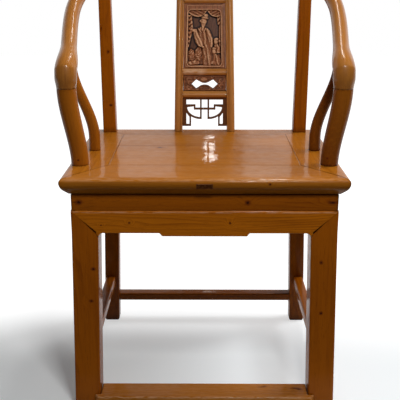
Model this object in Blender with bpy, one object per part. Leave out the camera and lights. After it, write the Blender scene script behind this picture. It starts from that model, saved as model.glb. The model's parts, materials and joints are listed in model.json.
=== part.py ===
"""Horseshoe-back armchair in metres, +Z up, with its front towards -Y.

Each piece is modelled where it sits in the joined chair: X runs across it, Y runs
back from the nose of the seat and Z runs up from the floor. One empty carries all the
pieces and brings the origin to the middle of the footprint, at floor level.
"""
import math

import bmesh
import bpy
import numpy as np
from mathutils import Vector

# Clearance between pieces that touch
CLEARANCE = 0.0003

# Seat frame, its floating panel and the battens below the panel
SEAT_HEIGHT = 0.510
SEAT_WIDTH = 0.560
SEAT_DEPTH = 0.480
FRAME_THICKNESS = 0.036
FRAME_FRONT_WIDTH = 0.108
FRAME_SIDE_WIDTH = 0.083
FRAME_BACK_WIDTH = 0.070
NOSE_ARRIS = 0.006
NOSE_DROP = 0.0095
NOSE_HEIGHT = 0.011
NOSE_UNDERCUT = 0.0045
CORNER_TENON_WIDTH = 0.024
CORNER_TENON_THICKNESS = 0.010
CORNER_TENON_LENGTH = 0.024
PANEL_GROOVE_DEPTH = 0.008
PANEL_TONGUE = 0.007
PANEL_THICKNESS = 0.019
PANEL_TONGUE_DROP = 0.011
FRONT_BOARD_WIDTH = 0.174
BATTEN_WIDTH = 0.030
BATTEN_HEIGHT = 0.014
BATTEN_SPACING = 0.220
BATTEN_TENON = 0.012
PLATE_LENGTH = 0.029
PLATE_HEIGHT = 0.0105
PLATE_THICKNESS = 0.0008

# Waist and aprons under the frame
OVERHANG = 0.017
BACK_OVERHANG = 0.012
WAIST_HEIGHT = 0.0335
WAIST_SETBACK = 0.002
APRON_HEIGHT = 0.0465
APRON_THICKNESS = 0.010
APRON_FILLET = 0.007
APRON_DROP = 0.0065
APRON_DROP_LENGTH = 0.166
BACK_APRON_TENON = 0.010

# Legs and stretchers
FRONT_LEG_SIZE = 0.053
BACK_LEG_SIZE = 0.037
LEG_CHAMFER = 0.003
LEG_SPLAY = 0.0285
LEG_TENON_SIZE = 0.020
LEG_TENON_LENGTH = 0.012
FOOTREST_TOP = 0.034
FOOTREST_THICKNESS = 0.022
FOOTREST_DEPTH = 0.043
FOOTREST_LIP = 0.014
FOOTREST_EAR = 0.013
SIDE_STRETCHER_TOP = 0.126
SIDE_STRETCHER_HEIGHT = 0.022
SIDE_STRETCHER_WIDTH = 0.024
BACK_STRETCHER_TOP = 0.075
BACK_STRETCHER_HEIGHT = 0.019
BACK_STRETCHER_DEPTH = 0.031
STRETCHER_TENON_LENGTH = 0.020
STRETCHER_SHOULDER = 0.005

# Horseshoe rail: elbows at the front, crest at the back
ARM_HEIGHT = 0.192
CREST_HEIGHT = 0.446
RAIL_SAG = 0.14
ARM_FRONT_INSET = 0.00425
ARM_SPREAD = 0.010
HORSESHOE_BEND = 0.251
CREST_OVERHANG = 0.082
RAIL_DIAMETER = 0.033
CREST_DIAMETER = 0.036
ELBOW_DIAMETER = 0.045
ELBOW_RADIUS = 0.0235
ELBOW_LENGTH = 0.042
ELBOW_FLARE = 0.090
SCARF_REACH = 0.345
SCARF_LENGTH = 0.060
SCARF_PIN_SIZE = 0.008
SCARF_PIN_SHARE = 0.9

# Posts that carry the rail
FRONT_POST_DIAMETER = 0.036
FRONT_POST_SETBACK = 0.114
FRONT_POST_INSET = 0.0245
FRONT_POST_TENON_DIAMETER = 0.022
FRONT_POST_TENON_LENGTH = 0.022
SIDE_POST_DIAMETER = 0.0255
SIDE_POST_TOP_DIAMETER = 0.020
SIDE_POST_SETBACK = 0.243
SIDE_POST_INSET = 0.0365
SIDE_POST_SWING = 1.6
SIDE_POST_SWING_START = 0.2
SIDE_POST_TENON_DIAMETER = 0.015
SIDE_POST_TENON_LENGTH = 0.022
BACK_POST_SIZE = 0.032
BACK_POST_TOP_SIZE = 0.028
BACK_POST_NECK = 0.028
BACK_POST_FLARE = 0.003
RAIL_TENON_DIAMETER = 0.011
RAIL_TENON_RISE = 0.004

# Splat between the back posts
SPLAT_SETBACK = 0.453
SPLAT_WIDTH = 0.150
SPLAT_TOP_WIDTH = 0.135
SPLAT_STRAIGHTNESS = 0.25
STILE_WIDTH = 0.020
STILE_DEPTH = 0.022
STILE_TENON_LENGTH = 0.018
SPLAT_GROOVE_WIDTH = 0.008
SPLAT_GROOVE_DEPTH = 0.008
SPLAT_TONGUE = 0.006
LOWER_RAIL_BOTTOM = 0.081
MIDDLE_RAIL_BOTTOM = 0.134
UPPER_RAIL_BOTTOM = 0.304
SPLAT_RAIL_HEIGHT = 0.017
SPLAT_RAIL_DEPTH = 0.018
SPLAT_PANEL_THICKNESS = 0.011
FRET_HEIGHT = 0.0685
FRET_BAR = 0.0042
FRET_ROD_BARS = 2.2
FRET_KEY_BARS = 4.4
FRET_BRIDGE_BARS = 6.3
FRET_ARC_BARS = 12.3
FRET_POST_BARS = 2.3
PIERCED_LENGTH = 0.055
PIERCED_HEIGHT = 0.0225

# Mesh fineness
RAIL_SIDES = 12
RAIL_STATIONS = 34
POST_STATIONS = 10
ARC_STEPS = 5

# Finish colours, linear
FRAME_WOOD = (0.300, 0.115, 0.020)
LEG_WOOD = (0.170, 0.055, 0.008)
RAIL_WOOD = (0.370, 0.160, 0.035)
CARVED_WOOD = (0.200, 0.080, 0.035)
PLATE_METAL = (0.030, 0.020, 0.015)

# Places worked out from the sizes above
HALF_SEAT = SEAT_WIDTH / 2
FRAME_BOTTOM = SEAT_HEIGHT - FRAME_THICKNESS
APRON_TOP = FRAME_BOTTOM - WAIST_HEIGHT
APRON_BOTTOM = APRON_TOP - APRON_HEIGHT
RING_HALF = HALF_SEAT - OVERHANG
RING_FRONT = OVERHANG
RING_BACK = SEAT_DEPTH - BACK_OVERHANG
LEG_INNER = RING_HALF - FRONT_LEG_SIZE
MITRE_SLOPE = APRON_HEIGHT / FRONT_LEG_SIZE
WAIST_THICKNESS = APRON_THICKNESS - WAIST_SETBACK
BACK_LEG_X = RING_HALF - APRON_THICKNESS - CLEARANCE - BACK_LEG_SIZE / 2
BACK_LEG_Y = RING_BACK - BACK_LEG_SIZE / 2
ARM_SPAN_FRONT = SEAT_WIDTH - 2 * ARM_FRONT_INSET
ARM_SPAN_MIDDLE = SEAT_WIDTH + 2 * ARM_SPREAD
CREST_Y = SEAT_DEPTH + CREST_OVERHANG
ELBOW_Y = FRONT_POST_SETBACK
FAR = 0.2
SIDES = {"left": -1, "right": 1}

root = None
pieces = {}


def clear_scene():
    """Remove what the scene holds and make the empty that carries the chair."""
    global root
    for old in list(bpy.data.objects):
        bpy.data.objects.remove(old, do_unlink=True)
    root = bpy.data.objects.new("armchair", None)
    bpy.context.scene.collection.objects.link(root)


def wood(name, colour, roughness=0.3, metallic=0.0):
    """Principled material of one plain colour."""
    material = bpy.data.materials.new(name)
    material.use_nodes = True
    shader = material.node_tree.nodes["Principled BSDF"]
    shader.inputs["Base Color"].default_value = (*colour, 1.0)
    shader.inputs["Roughness"].default_value = roughness
    shader.inputs["Metallic"].default_value = metallic
    material.diffuse_color = (*colour, 1.0)
    return material


def add_mesh(name, bm, colour):
    """Turn a bmesh into an object under the chair's empty, with its own material."""
    bmesh.ops.remove_doubles(bm, verts=bm.verts, dist=1e-7)
    bmesh.ops.recalc_face_normals(bm, faces=bm.faces)
    mesh = bpy.data.meshes.new(name)
    bm.to_mesh(mesh)
    bm.free()
    piece = bpy.data.objects.new(name, mesh)
    piece.parent = root
    bpy.context.scene.collection.objects.link(piece)
    if colour is not None:
        mesh.materials.append(wood(name, colour))
        pieces[name] = piece
    return piece


def loft(name, rings, colour=None):
    """Closed skin through a list of rings that have the same number of points."""
    bm = bmesh.new()
    rows = [[bm.verts.new(point) for point in ring] for ring in rings]
    count = len(rows[0])
    for low, high in zip(rows, rows[1:]):
        for i in range(count):
            j = (i + 1) % count
            corners = [low[i], low[j], high[j], high[i]]
            bm.faces.new(corners)
    bm.faces.new(rows[0][::-1])
    bm.faces.new(rows[-1])
    bmesh.ops.dissolve_degenerate(bm, edges=bm.edges, dist=1e-7)
    return add_mesh(name, bm, colour)


def box(name, low, high, colour=None):
    """Square block between two corners."""
    (x0, y0, z0), (x1, y1, z1) = low, high
    base = [(x0, y0), (x1, y0), (x1, y1), (x0, y1)]
    return loft(name, [[(x, y, z) for x, y in base] for z in (z0, z1)], colour)


def prism(name, outline, place, start, end, colour=None):
    """Outline of (u, v) points carried from start to end; place(u, v, w) gives the point."""
    rings = [[place(u, v, w) for u, v in outline] for w in (start, end)]
    return loft(name, rings, colour)


def square_ring(x, y, z, size, chamfer):
    """Level ring of a square with cut corners."""
    a = size / 2
    b = a - chamfer
    corners = [(a, -b), (a, b), (b, a), (-b, a), (-a, b), (-a, -b), (-b, -a), (b, -a)]
    return [(x + u, y + v, z) for u, v in corners]


def round_ring(x, y, z, diameter):
    """Level ring of a circle."""
    turn = np.arange(RAIL_SIDES) * (2 * math.pi / RAIL_SIDES)
    return [(x + diameter / 2 * math.cos(a), y + diameter / 2 * math.sin(a), z) for a in turn]


def peg(name, x, y, low, high, diameter):
    """Upright round peg or bore cutter."""
    return loft(name, [round_ring(x, y, low, diameter), round_ring(x, y, high, diameter)])


def boolean(piece, tool, operation):
    """Keep a live Boolean on the piece and hide its tool."""
    tool.hide_render = True
    tool.display_type = "WIRE"
    modifier = piece.modifiers.new(tool.name, "BOOLEAN")
    modifier.operation = operation
    modifier.object = tool


def cut(tool, *names):
    """Take the tool's shape out of the named pieces."""
    for name in names:
        boolean(pieces[name], tool, "DIFFERENCE")


def join(tool, name):
    """Add the tool's shape to the named piece."""
    boolean(pieces[name], tool, "UNION")


def smooth_step(t):
    """S-shaped ramp from 0 to 1 with level ends."""
    t = min(max(t, 0.0), 1.0)
    return t * t * (3 - 2 * t)


def nose_profile(width):
    """Section of a seat frame member as (inset from the nose, height) points.

    The top rounds over to the nose, a flat band leans in under it, a slope runs back to
    the waist, and the inner edge holds the groove of the panel.
    """
    top = SEAT_HEIGHT
    turn = np.linspace(math.pi / 2, math.pi, ARC_STEPS)
    profile = [(NOSE_ARRIS + NOSE_ARRIS * math.cos(a), top - NOSE_DROP + NOSE_DROP * math.sin(a))
               for a in turn]
    profile.append((NOSE_UNDERCUT, top - NOSE_DROP - NOSE_HEIGHT))
    profile.append((OVERHANG, FRAME_BOTTOM))
    profile.append((width, FRAME_BOTTOM))
    tongue_low = top - PANEL_THICKNESS - CLEARANCE
    tongue_high = top - PANEL_TONGUE_DROP + CLEARANCE
    profile += [(width, tongue_low), (width - PANEL_GROOVE_DEPTH, tongue_low)]
    profile += [(width - PANEL_GROOVE_DEPTH, tongue_high), (width, tongue_high), (width, top)]
    return profile


def seat_frame():
    """Four mitred members; the front member's corner tenons lock the front mitres."""
    gap = CLEARANCE
    for name, width, flip in (("front", FRAME_FRONT_WIDTH, 1), ("back", FRAME_BACK_WIDTH, -1)):
        nose = 0.0 if flip == 1 else SEAT_DEPTH
        rings = []
        for side in (-1, 1):
            ratio = FRAME_SIDE_WIDTH / width
            ring = [(side * (HALF_SEAT - gap - d * ratio), nose + flip * d, z)
                    for d, z in nose_profile(width)]
            rings.append(ring)
        loft(f"seat_frame_{name}", rings, FRAME_WOOD)
    for name, side in SIDES.items():
        front_ratio = FRAME_FRONT_WIDTH / FRAME_SIDE_WIDTH
        back_ratio = FRAME_BACK_WIDTH / FRAME_SIDE_WIDTH
        profile = nose_profile(FRAME_SIDE_WIDTH)
        front = [(side * (HALF_SEAT - d), gap + d * front_ratio, z) for d, z in profile]
        back = [(side * (HALF_SEAT - d), SEAT_DEPTH - gap - d * back_ratio, z) for d, z in profile]
        loft(f"seat_frame_{name}", [front, back], FRAME_WOOD)
    corner_tenons()


def corner_tenons():
    """Tenons on the ends of the front member and their mortises in the side members."""
    middle = FRAME_FRONT_WIDTH / 2
    mitre_x = HALF_SEAT - FRAME_SIDE_WIDTH / 2
    high = SEAT_HEIGHT - PANEL_TONGUE_DROP
    low = high - CORNER_TENON_THICKNESS
    gap = CLEARANCE
    for name, side in SIDES.items():
        near = side * (mitre_x - CORNER_TENON_WIDTH)
        far = side * (mitre_x + CORNER_TENON_LENGTH)
        front = middle - CORNER_TENON_WIDTH / 2
        back = middle + CORNER_TENON_WIDTH / 2
        tenon = box(f"corner_tenon_{name}", (near, front, low), (far, back, high))
        join(tenon, "seat_frame_front")
        far += side * gap
        mortise = box(f"corner_mortise_{name}", (near, front - gap, low - gap), (far, back + gap, high + gap))
        cut(mortise, f"seat_frame_{name}")


def seat_boards():
    """Two boards whose tongues run in the frame's groove, level with the frame on top."""
    gap = CLEARANCE
    x_top = HALF_SEAT - FRAME_SIDE_WIDTH - gap
    x_tongue = x_top + PANEL_TONGUE
    front = FRAME_FRONT_WIDTH + gap
    back = SEAT_DEPTH - FRAME_BACK_WIDTH - gap
    seam = front + FRONT_BOARD_WIDTH
    low = SEAT_HEIGHT - PANEL_THICKNESS
    step = SEAT_HEIGHT - PANEL_TONGUE_DROP
    spans = {"front": (front, seam, front - PANEL_TONGUE, seam),
             "back": (seam + gap, back, seam + gap, back + PANEL_TONGUE)}
    for name, (top_y0, top_y1, low_y0, low_y1) in spans.items():
        rings = []
        for x, y0, y1, z in ((x_tongue, low_y0, low_y1, low), (x_tongue, low_y0, low_y1, step),
                             (x_top, top_y0, top_y1, step), (x_top, top_y0, top_y1, SEAT_HEIGHT)):
            rings.append([(-x, y0, z), (x, y0, z), (x, y1, z), (-x, y1, z)])
        loft(f"seat_board_{name}", rings, FRAME_WOOD)


def battens():
    """Cross battens below the boards, tenoned into the front and back members."""
    gap = CLEARANCE
    high = SEAT_HEIGHT - PANEL_THICKNESS - 2 * gap
    low = high - BATTEN_HEIGHT
    front = FRAME_FRONT_WIDTH - BATTEN_TENON
    back = SEAT_DEPTH - FRAME_BACK_WIDTH + BATTEN_TENON
    for name, side in SIDES.items():
        x0 = side * BATTEN_SPACING / 2 - BATTEN_WIDTH / 2
        x1 = x0 + BATTEN_WIDTH
        box(f"seat_batten_{name}", (x0, front, low), (x1, back, high), LEG_WOOD)
        mortise = box(f"batten_mortise_{name}", (x0 - gap, front - gap, low - gap),
                      (x1 + gap, back + gap, high + gap))
        cut(mortise, "seat_frame_front", "seat_frame_back")


def edge_plate():
    """Small bare plate on the flat band under the nose."""
    lean = Vector((0, NOSE_UNDERCUT, -NOSE_HEIGHT)).normalized()
    out = Vector((0, -NOSE_HEIGHT, -NOSE_UNDERCUT)).normalized()
    middle = Vector((0, NOSE_UNDERCUT / 2, SEAT_HEIGHT - NOSE_DROP - NOSE_HEIGHT / 2))
    rings = []
    for depth in (CLEARANCE, CLEARANCE + PLATE_THICKNESS):
        ring = []
        for x, v in ((-1, -1), (1, -1), (1, 1), (-1, 1)):
            across = Vector((x * PLATE_LENGTH / 2, 0, 0))
            ring.append(middle + across + lean * (v * PLATE_HEIGHT / 2) + out * depth)
        rings.append(ring)
    loft("edge_plate", rings, PLATE_METAL)


def waist():
    """Recessed band of four boards between the seat frame and the aprons."""
    low = APRON_TOP + CLEARANCE
    high = FRAME_BOTTOM - CLEARANCE
    outer = RING_HALF - WAIST_SETBACK
    inner = outer - WAIST_THICKNESS
    front = RING_FRONT + WAIST_SETBACK
    gap = CLEARANCE
    ends = []
    for side in (-1, 1):
        end = [(side * (x - gap), y, z) for x, y in ((outer, front), (inner, front + WAIST_THICKNESS))
               for z in (low, high)]
        ends.append([end[0], end[1], end[3], end[2]])
    loft("waist_front", ends, LEG_WOOD)
    for name, side in SIDES.items():
        plan = [(outer, front + gap), (inner, front + WAIST_THICKNESS + gap),
                (inner, RING_BACK), (outer, RING_BACK)]
        rings = [[(side * x, y, z) for x, y in plan] for z in (low, high)]
        loft(f"waist_{name}", rings, LEG_WOOD)
    reach = BACK_LEG_X - BACK_LEG_SIZE / 2 - gap
    back = RING_BACK - WAIST_SETBACK
    box("waist_back", (-reach, back - WAIST_THICKNESS, low), (reach, back, high), LEG_WOOD)


def fillet_points(corner, radius):
    """Quarter round under the apron beside a leg, from the leg inwards, as (u, v) points."""
    turn = np.linspace(0, math.pi / 2, ARC_STEPS)
    return [(corner - radius + radius * math.cos(a), APRON_BOTTOM - radius + radius * math.sin(a))
            for a in turn]


def apron_front():
    """Front apron: mitred to the legs' shoulders, with a dropped middle."""
    inner = LEG_INNER - CLEARANCE
    foot = APRON_BOTTOM - CLEARANCE * MITRE_SLOPE
    drop_half = APRON_DROP_LENGTH / 2
    drop_foot = APRON_BOTTOM - APRON_DROP
    rings = []
    for depth, y in ((0.0, RING_FRONT), (APRON_THICKNESS, RING_FRONT + APRON_THICKNESS)):
        reach = RING_HALF - CLEARANCE - depth
        heel = APRON_TOP - (depth + CLEARANCE) * MITRE_SLOPE
        half = [(reach, APRON_TOP), (reach, heel), (inner, foot)]
        half += fillet_points(inner, APRON_FILLET)
        half += [(drop_half + APRON_DROP, APRON_BOTTOM), (drop_half, drop_foot)]
        ring = half + [(-u, v) for u, v in reversed(half)]
        rings.append([(u, y, v) for u, v in ring])
    loft("apron_front", rings, LEG_WOOD)


def aprons_side_and_back():
    """Side aprons run from the front legs past the back legs; the back apron lies between."""
    foot = APRON_BOTTOM - CLEARANCE * MITRE_SLOPE
    leg_back = RING_FRONT + FRONT_LEG_SIZE + CLEARANCE
    for name, side in SIDES.items():
        rings = []
        for depth in (0.0, APRON_THICKNESS):
            start = RING_FRONT + CLEARANCE + depth
            heel = APRON_TOP - (depth + CLEARANCE) * MITRE_SLOPE
            outline = [(RING_BACK, APRON_BOTTOM), (RING_BACK, APRON_TOP), (start, APRON_TOP),
                       (start, heel), (leg_back, foot)]
            outline += [(2 * leg_back - y, z) for y, z in fillet_points(leg_back, APRON_FILLET)]
            rings.append([(side * (RING_HALF - depth), y, z) for y, z in outline])
        loft(f"apron_{name}", rings, LEG_WOOD)
    gap = CLEARANCE
    face = BACK_LEG_X - BACK_LEG_SIZE / 2
    y0 = RING_BACK - APRON_THICKNESS
    shoulder = APRON_HEIGHT / 4
    rings = []
    for x, inset in ((-face - BACK_APRON_TENON, shoulder), (-face + gap, shoulder), (-face + gap, 0.0),
                     (face - gap, 0.0), (face - gap, shoulder), (face + BACK_APRON_TENON, shoulder)):
        low = APRON_BOTTOM + inset
        high = APRON_TOP - inset
        thin = STRETCHER_SHOULDER / 2 if inset else 0.0
        near = y0 + thin
        far = RING_BACK - thin
        rings.append([(x, near, low), (x, far, low), (x, far, high), (x, near, high)])
    loft("apron_back", rings, LEG_WOOD)
    thin = STRETCHER_SHOULDER / 2
    for name, side in SIDES.items():
        mortise = box(f"apron_mortise_{name}",
                      (side * (face - gap), y0 + thin - gap, APRON_BOTTOM + shoulder - gap),
                      (side * (face + BACK_APRON_TENON + gap), RING_BACK - thin + gap,
                       APRON_TOP - shoulder + gap))
        cut(mortise, f"back_leg_{name}")


def splay(z):
    """Sideways lean of a leg at a height: nothing above the apron's lower edge."""
    return LEG_SPLAY * max(APRON_BOTTOM - z, 0.0)


def front_legs():
    """Square legs; above the mitre only a core stays behind the aprons and the waist."""
    gap = CLEARANCE
    core = FRONT_LEG_SIZE - APRON_THICKNESS - gap
    core_x = LEG_INNER + core / 2
    core_y = RING_FRONT + FRONT_LEG_SIZE - core / 2
    middle = RING_HALF - FRONT_LEG_SIZE / 2
    middle_y = RING_FRONT + FRONT_LEG_SIZE / 2
    top = FRAME_BOTTOM - gap
    for name, side in SIDES.items():
        rings = []
        for z in (0.0, APRON_BOTTOM, top):
            x = side * (middle + splay(z))
            rings.append(square_ring(x, middle_y, z, FRONT_LEG_SIZE, LEG_CHAMFER))
        for z in (top, FRAME_BOTTOM + LEG_TENON_LENGTH):
            rings.append(square_ring(side * core_x, core_y, z, LEG_TENON_SIZE, LEG_CHAMFER))
        loft(f"front_leg_{name}", rings, LEG_WOOD)
        shoulder_cuts(name, side)
        half = LEG_TENON_SIZE / 2 + gap
        mortise = box(f"leg_mortise_{name}", (side * core_x - half, core_y - half, FRAME_BOTTOM - gap),
                      (side * core_x + half, core_y + half, FRAME_BOTTOM + LEG_TENON_LENGTH + gap))
        cut(mortise, "seat_frame_front", f"seat_frame_{name}")


def shoulder_cuts(name, side):
    """Clear a front leg's outer layers above the mitres for the front and side aprons."""
    gap = CLEARANCE
    sink = 1.5 * gap
    start = -FRONT_LEG_SIZE
    end = 2 * FRONT_LEG_SIZE
    rise = WAIST_HEIGHT + APRON_HEIGHT
    high = APRON_BOTTOM + 2 * rise
    outline = [(u, APRON_BOTTOM + u * MITRE_SLOPE - sink) for u in (start, end)]
    outline += [(end, high), (start, high)]

    def front_place(u, v, w):
        return (side * (LEG_INNER + u), w, v)

    def side_place(u, v, w):
        return (side * w, RING_FRONT + FRONT_LEG_SIZE - u, v)

    front = prism(f"front_shoulder_{name}", outline, front_place, RING_FRONT - FRONT_LEG_SIZE,
                  RING_FRONT + APRON_THICKNESS + gap)
    edge = prism(f"side_shoulder_{name}", outline, side_place, RING_HALF - APRON_THICKNESS - gap,
                 RING_HALF + FRONT_LEG_SIZE)
    cut(front, f"front_leg_{name}")
    cut(edge, f"front_leg_{name}")


def back_legs():
    """Back legs that pass the corner of the seat frame and lean back as posts to the rail."""
    gap = CLEARANCE
    top = rail_point_over(BACK_LEG_X + BACK_POST_FLARE)
    for name, side in SIDES.items():
        rings = []
        for z in (0.0, APRON_BOTTOM, FRAME_BOTTOM - gap):
            x = side * (BACK_LEG_X + splay(z))
            rings.append(square_ring(x, BACK_LEG_Y, z, BACK_LEG_SIZE, LEG_CHAMFER))
        for z in (FRAME_BOTTOM - gap, SEAT_HEIGHT + gap):
            rings.append(square_ring(side * BACK_LEG_X, BACK_LEG_Y, z, BACK_POST_NECK, LEG_CHAMFER))
        for t in np.linspace(0, 1, POST_STATIONS):
            z = SEAT_HEIGHT + gap + t * (top[2] - SEAT_HEIGHT - gap)
            y = BACK_LEG_Y + (top[1] - BACK_LEG_Y) * t * t
            size = BACK_POST_SIZE + (BACK_POST_TOP_SIZE - BACK_POST_SIZE) * t
            x = side * (BACK_LEG_X + BACK_POST_FLARE * t)
            rings.append(square_ring(x, y, z, size, LEG_CHAMFER))
        loft(f"back_leg_{name}", rings, LEG_WOOD)
        half = BACK_POST_NECK / 2 + gap
        hole = box(f"post_hole_{name}", (side * BACK_LEG_X - half, BACK_LEG_Y - half, FRAME_BOTTOM - FAR),
                   (side * BACK_LEG_X + half, BACK_LEG_Y + half, SEAT_HEIGHT + FAR))
        cut(hole, "seat_frame_back", f"seat_frame_{name}")
        seat_under_rail(f"back_leg_{name}", "crest_rail", (side * top[0], top[1], top[2]))


def footrest():
    """Front stretcher to rest the feet on: a lip in front with ears that lap the legs."""
    gap = CLEARANCE
    high = FOOTREST_TOP
    low = high - FOOTREST_THICKNESS
    inner = LEG_INNER + splay(high) - gap
    face = RING_FRONT - gap
    back = RING_FRONT + FOOTREST_DEPTH
    lip = RING_FRONT - FOOTREST_LIP
    ear = inner + FOOTREST_EAR
    half = [(inner - gap, back), (inner - gap, face), (ear, face), (ear - FOOTREST_EAR, lip)]
    plan = half + [(-x, y) for x, y in reversed(half)]
    loft("footrest", [[(x, y, z) for x, y in plan] for z in (low, high)], LEG_WOOD)
    front = RING_FRONT + STRETCHER_SHOULDER
    rear = back - STRETCHER_SHOULDER
    tenon = (low + STRETCHER_SHOULDER, high - STRETCHER_SHOULDER)
    for name, side in SIDES.items():
        near = side * (inner - STRETCHER_TENON_LENGTH)
        far = side * (inner + STRETCHER_TENON_LENGTH)
        block = box(f"footrest_tenon_{name}", (near, front, tenon[0]), (far, rear, tenon[1]))
        join(block, "footrest")
        hole = box(f"footrest_mortise_{name}", (near, front - gap, tenon[0] - gap),
                   (far + side * gap, rear + gap, tenon[1] + gap))
        cut(hole, f"front_leg_{name}")


def stretcher(name, stations, section, tenon, place):
    """Stretcher with a shouldered tenon at each end.

    stations are the two shoulder places along it, section is (u0, u1, v0, v1) across it,
    and place(w, u, v) gives the point.
    """
    u0, u1, v0, v1 = section
    inset = STRETCHER_SHOULDER
    steps = [(stations[0] - tenon, inset), (stations[0], inset), (stations[0], 0.0),
             (stations[1], 0.0), (stations[1], inset), (stations[1] + tenon, inset)]
    rings = []
    for w, s in steps:
        corners = [(u0 + s, v0 + s), (u1 - s, v0 + s), (u1 - s, v1 - s), (u0 + s, v1 - s)]
        rings.append([place(w, u, v) for u, v in corners])
    loft(name, rings, LEG_WOOD)


def stretchers():
    """Side stretchers between front and back legs, and the back stretcher."""
    gap = CLEARANCE
    inset = STRETCHER_SHOULDER - gap
    high = SIDE_STRETCHER_TOP
    low = high - SIDE_STRETCHER_HEIGHT
    span = (RING_FRONT + FRONT_LEG_SIZE + gap, BACK_LEG_Y - BACK_LEG_SIZE / 2 - gap)
    outer = BACK_LEG_X + BACK_LEG_SIZE / 2 + splay(high) - LEG_CHAMFER
    inner = outer - SIDE_STRETCHER_WIDTH
    tenon = STRETCHER_TENON_LENGTH
    for name, side in SIDES.items():
        def along(w, u, v, side=side):
            return (side * u, w, v)
        stretcher(f"side_stretcher_{name}", span, (inner, outer, low, high), tenon, along)
        hole = box(f"side_mortise_{name}", (side * (inner + inset), span[0] - tenon - gap, low + inset),
                   (side * (outer - inset), span[1] + tenon + gap, high - inset))
        cut(hole, f"front_leg_{name}", f"back_leg_{name}")
    high = BACK_STRETCHER_TOP
    low = high - BACK_STRETCHER_HEIGHT
    face = BACK_LEG_X - BACK_LEG_SIZE / 2 + splay(high) - gap
    near = BACK_LEG_Y - BACK_STRETCHER_DEPTH / 2
    far = BACK_LEG_Y + BACK_STRETCHER_DEPTH / 2

    def across(w, u, v):
        return (w, u, v)
    stretcher("back_stretcher", (-face, face), (near, far, low, high), tenon, across)
    hole = box("back_mortise", (-face - tenon - gap, near + inset, low + inset),
               (face + tenon + gap, far - inset, high - inset))
    cut(hole, "back_leg_left", "back_leg_right")


def rail_height(y):
    """Height of the rail's centre line: it climbs from the elbows to the crest, a little sagged."""
    t = (y - ELBOW_Y) / (CREST_Y - ELBOW_Y)
    climb = (1 - RAIL_SAG) * t + RAIL_SAG * t * t
    return SEAT_HEIGHT + ARM_HEIGHT + (CREST_HEIGHT - ARM_HEIGHT) * climb


def rail_point_over(x):
    """Point of the rail's centre line over a place on the bend of the horseshoe."""
    half = ARM_SPAN_MIDDLE / 2
    y = CREST_Y - HORSESHOE_BEND * (1 - math.sqrt(1 - (x / half) ** 2))
    return (x, y, rail_height(y))


def arm_x(y):
    """Half span of the straight part of the arms, which spreads a little towards the back."""
    bend_start = CREST_Y - HORSESHOE_BEND
    t = smooth_step((y - ELBOW_Y) / (bend_start - ELBOW_Y))
    return ARM_SPAN_FRONT / 2 + (ARM_SPAN_MIDDLE - ARM_SPAN_FRONT) / 2 * t


def rail_centre_line():
    """Fine centre line of the right half: an elliptic bend, a near-straight arm and the elbow."""
    bend_start = CREST_Y - HORSESHOE_BEND
    turns = np.linspace(0, math.pi / 2, 200)
    half = ARM_SPAN_MIDDLE / 2
    bend = [(half * math.sin(a), bend_start + HORSESHOE_BEND * math.cos(a)) for a in turns]
    line = [(x, y, rail_height(y)) for x, y in bend]
    elbow = SEAT_HEIGHT + ARM_HEIGHT
    slope = (rail_height(ELBOW_Y + ELBOW_RADIUS) - elbow) / ELBOW_RADIUS
    turn = math.pi / 2 - math.atan(slope)
    reach = ELBOW_RADIUS * math.tan(turn / 2)
    start = ELBOW_Y + reach * math.cos(math.atan(slope))
    for y in np.linspace(bend_start, start, 120)[1:]:
        line.append((arm_x(y), y, rail_height(y)))
    x = arm_x(start)
    hub = (ELBOW_Y + ELBOW_RADIUS, elbow - reach)
    for a in np.linspace(math.pi / 2 + math.atan(slope), math.pi, 24)[1:]:
        line.append((x, hub[0] + ELBOW_RADIUS * math.cos(a), hub[1] + ELBOW_RADIUS * math.sin(a)))
    line.append((x, ELBOW_Y, elbow - ELBOW_LENGTH))
    return np.array(line)


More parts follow.
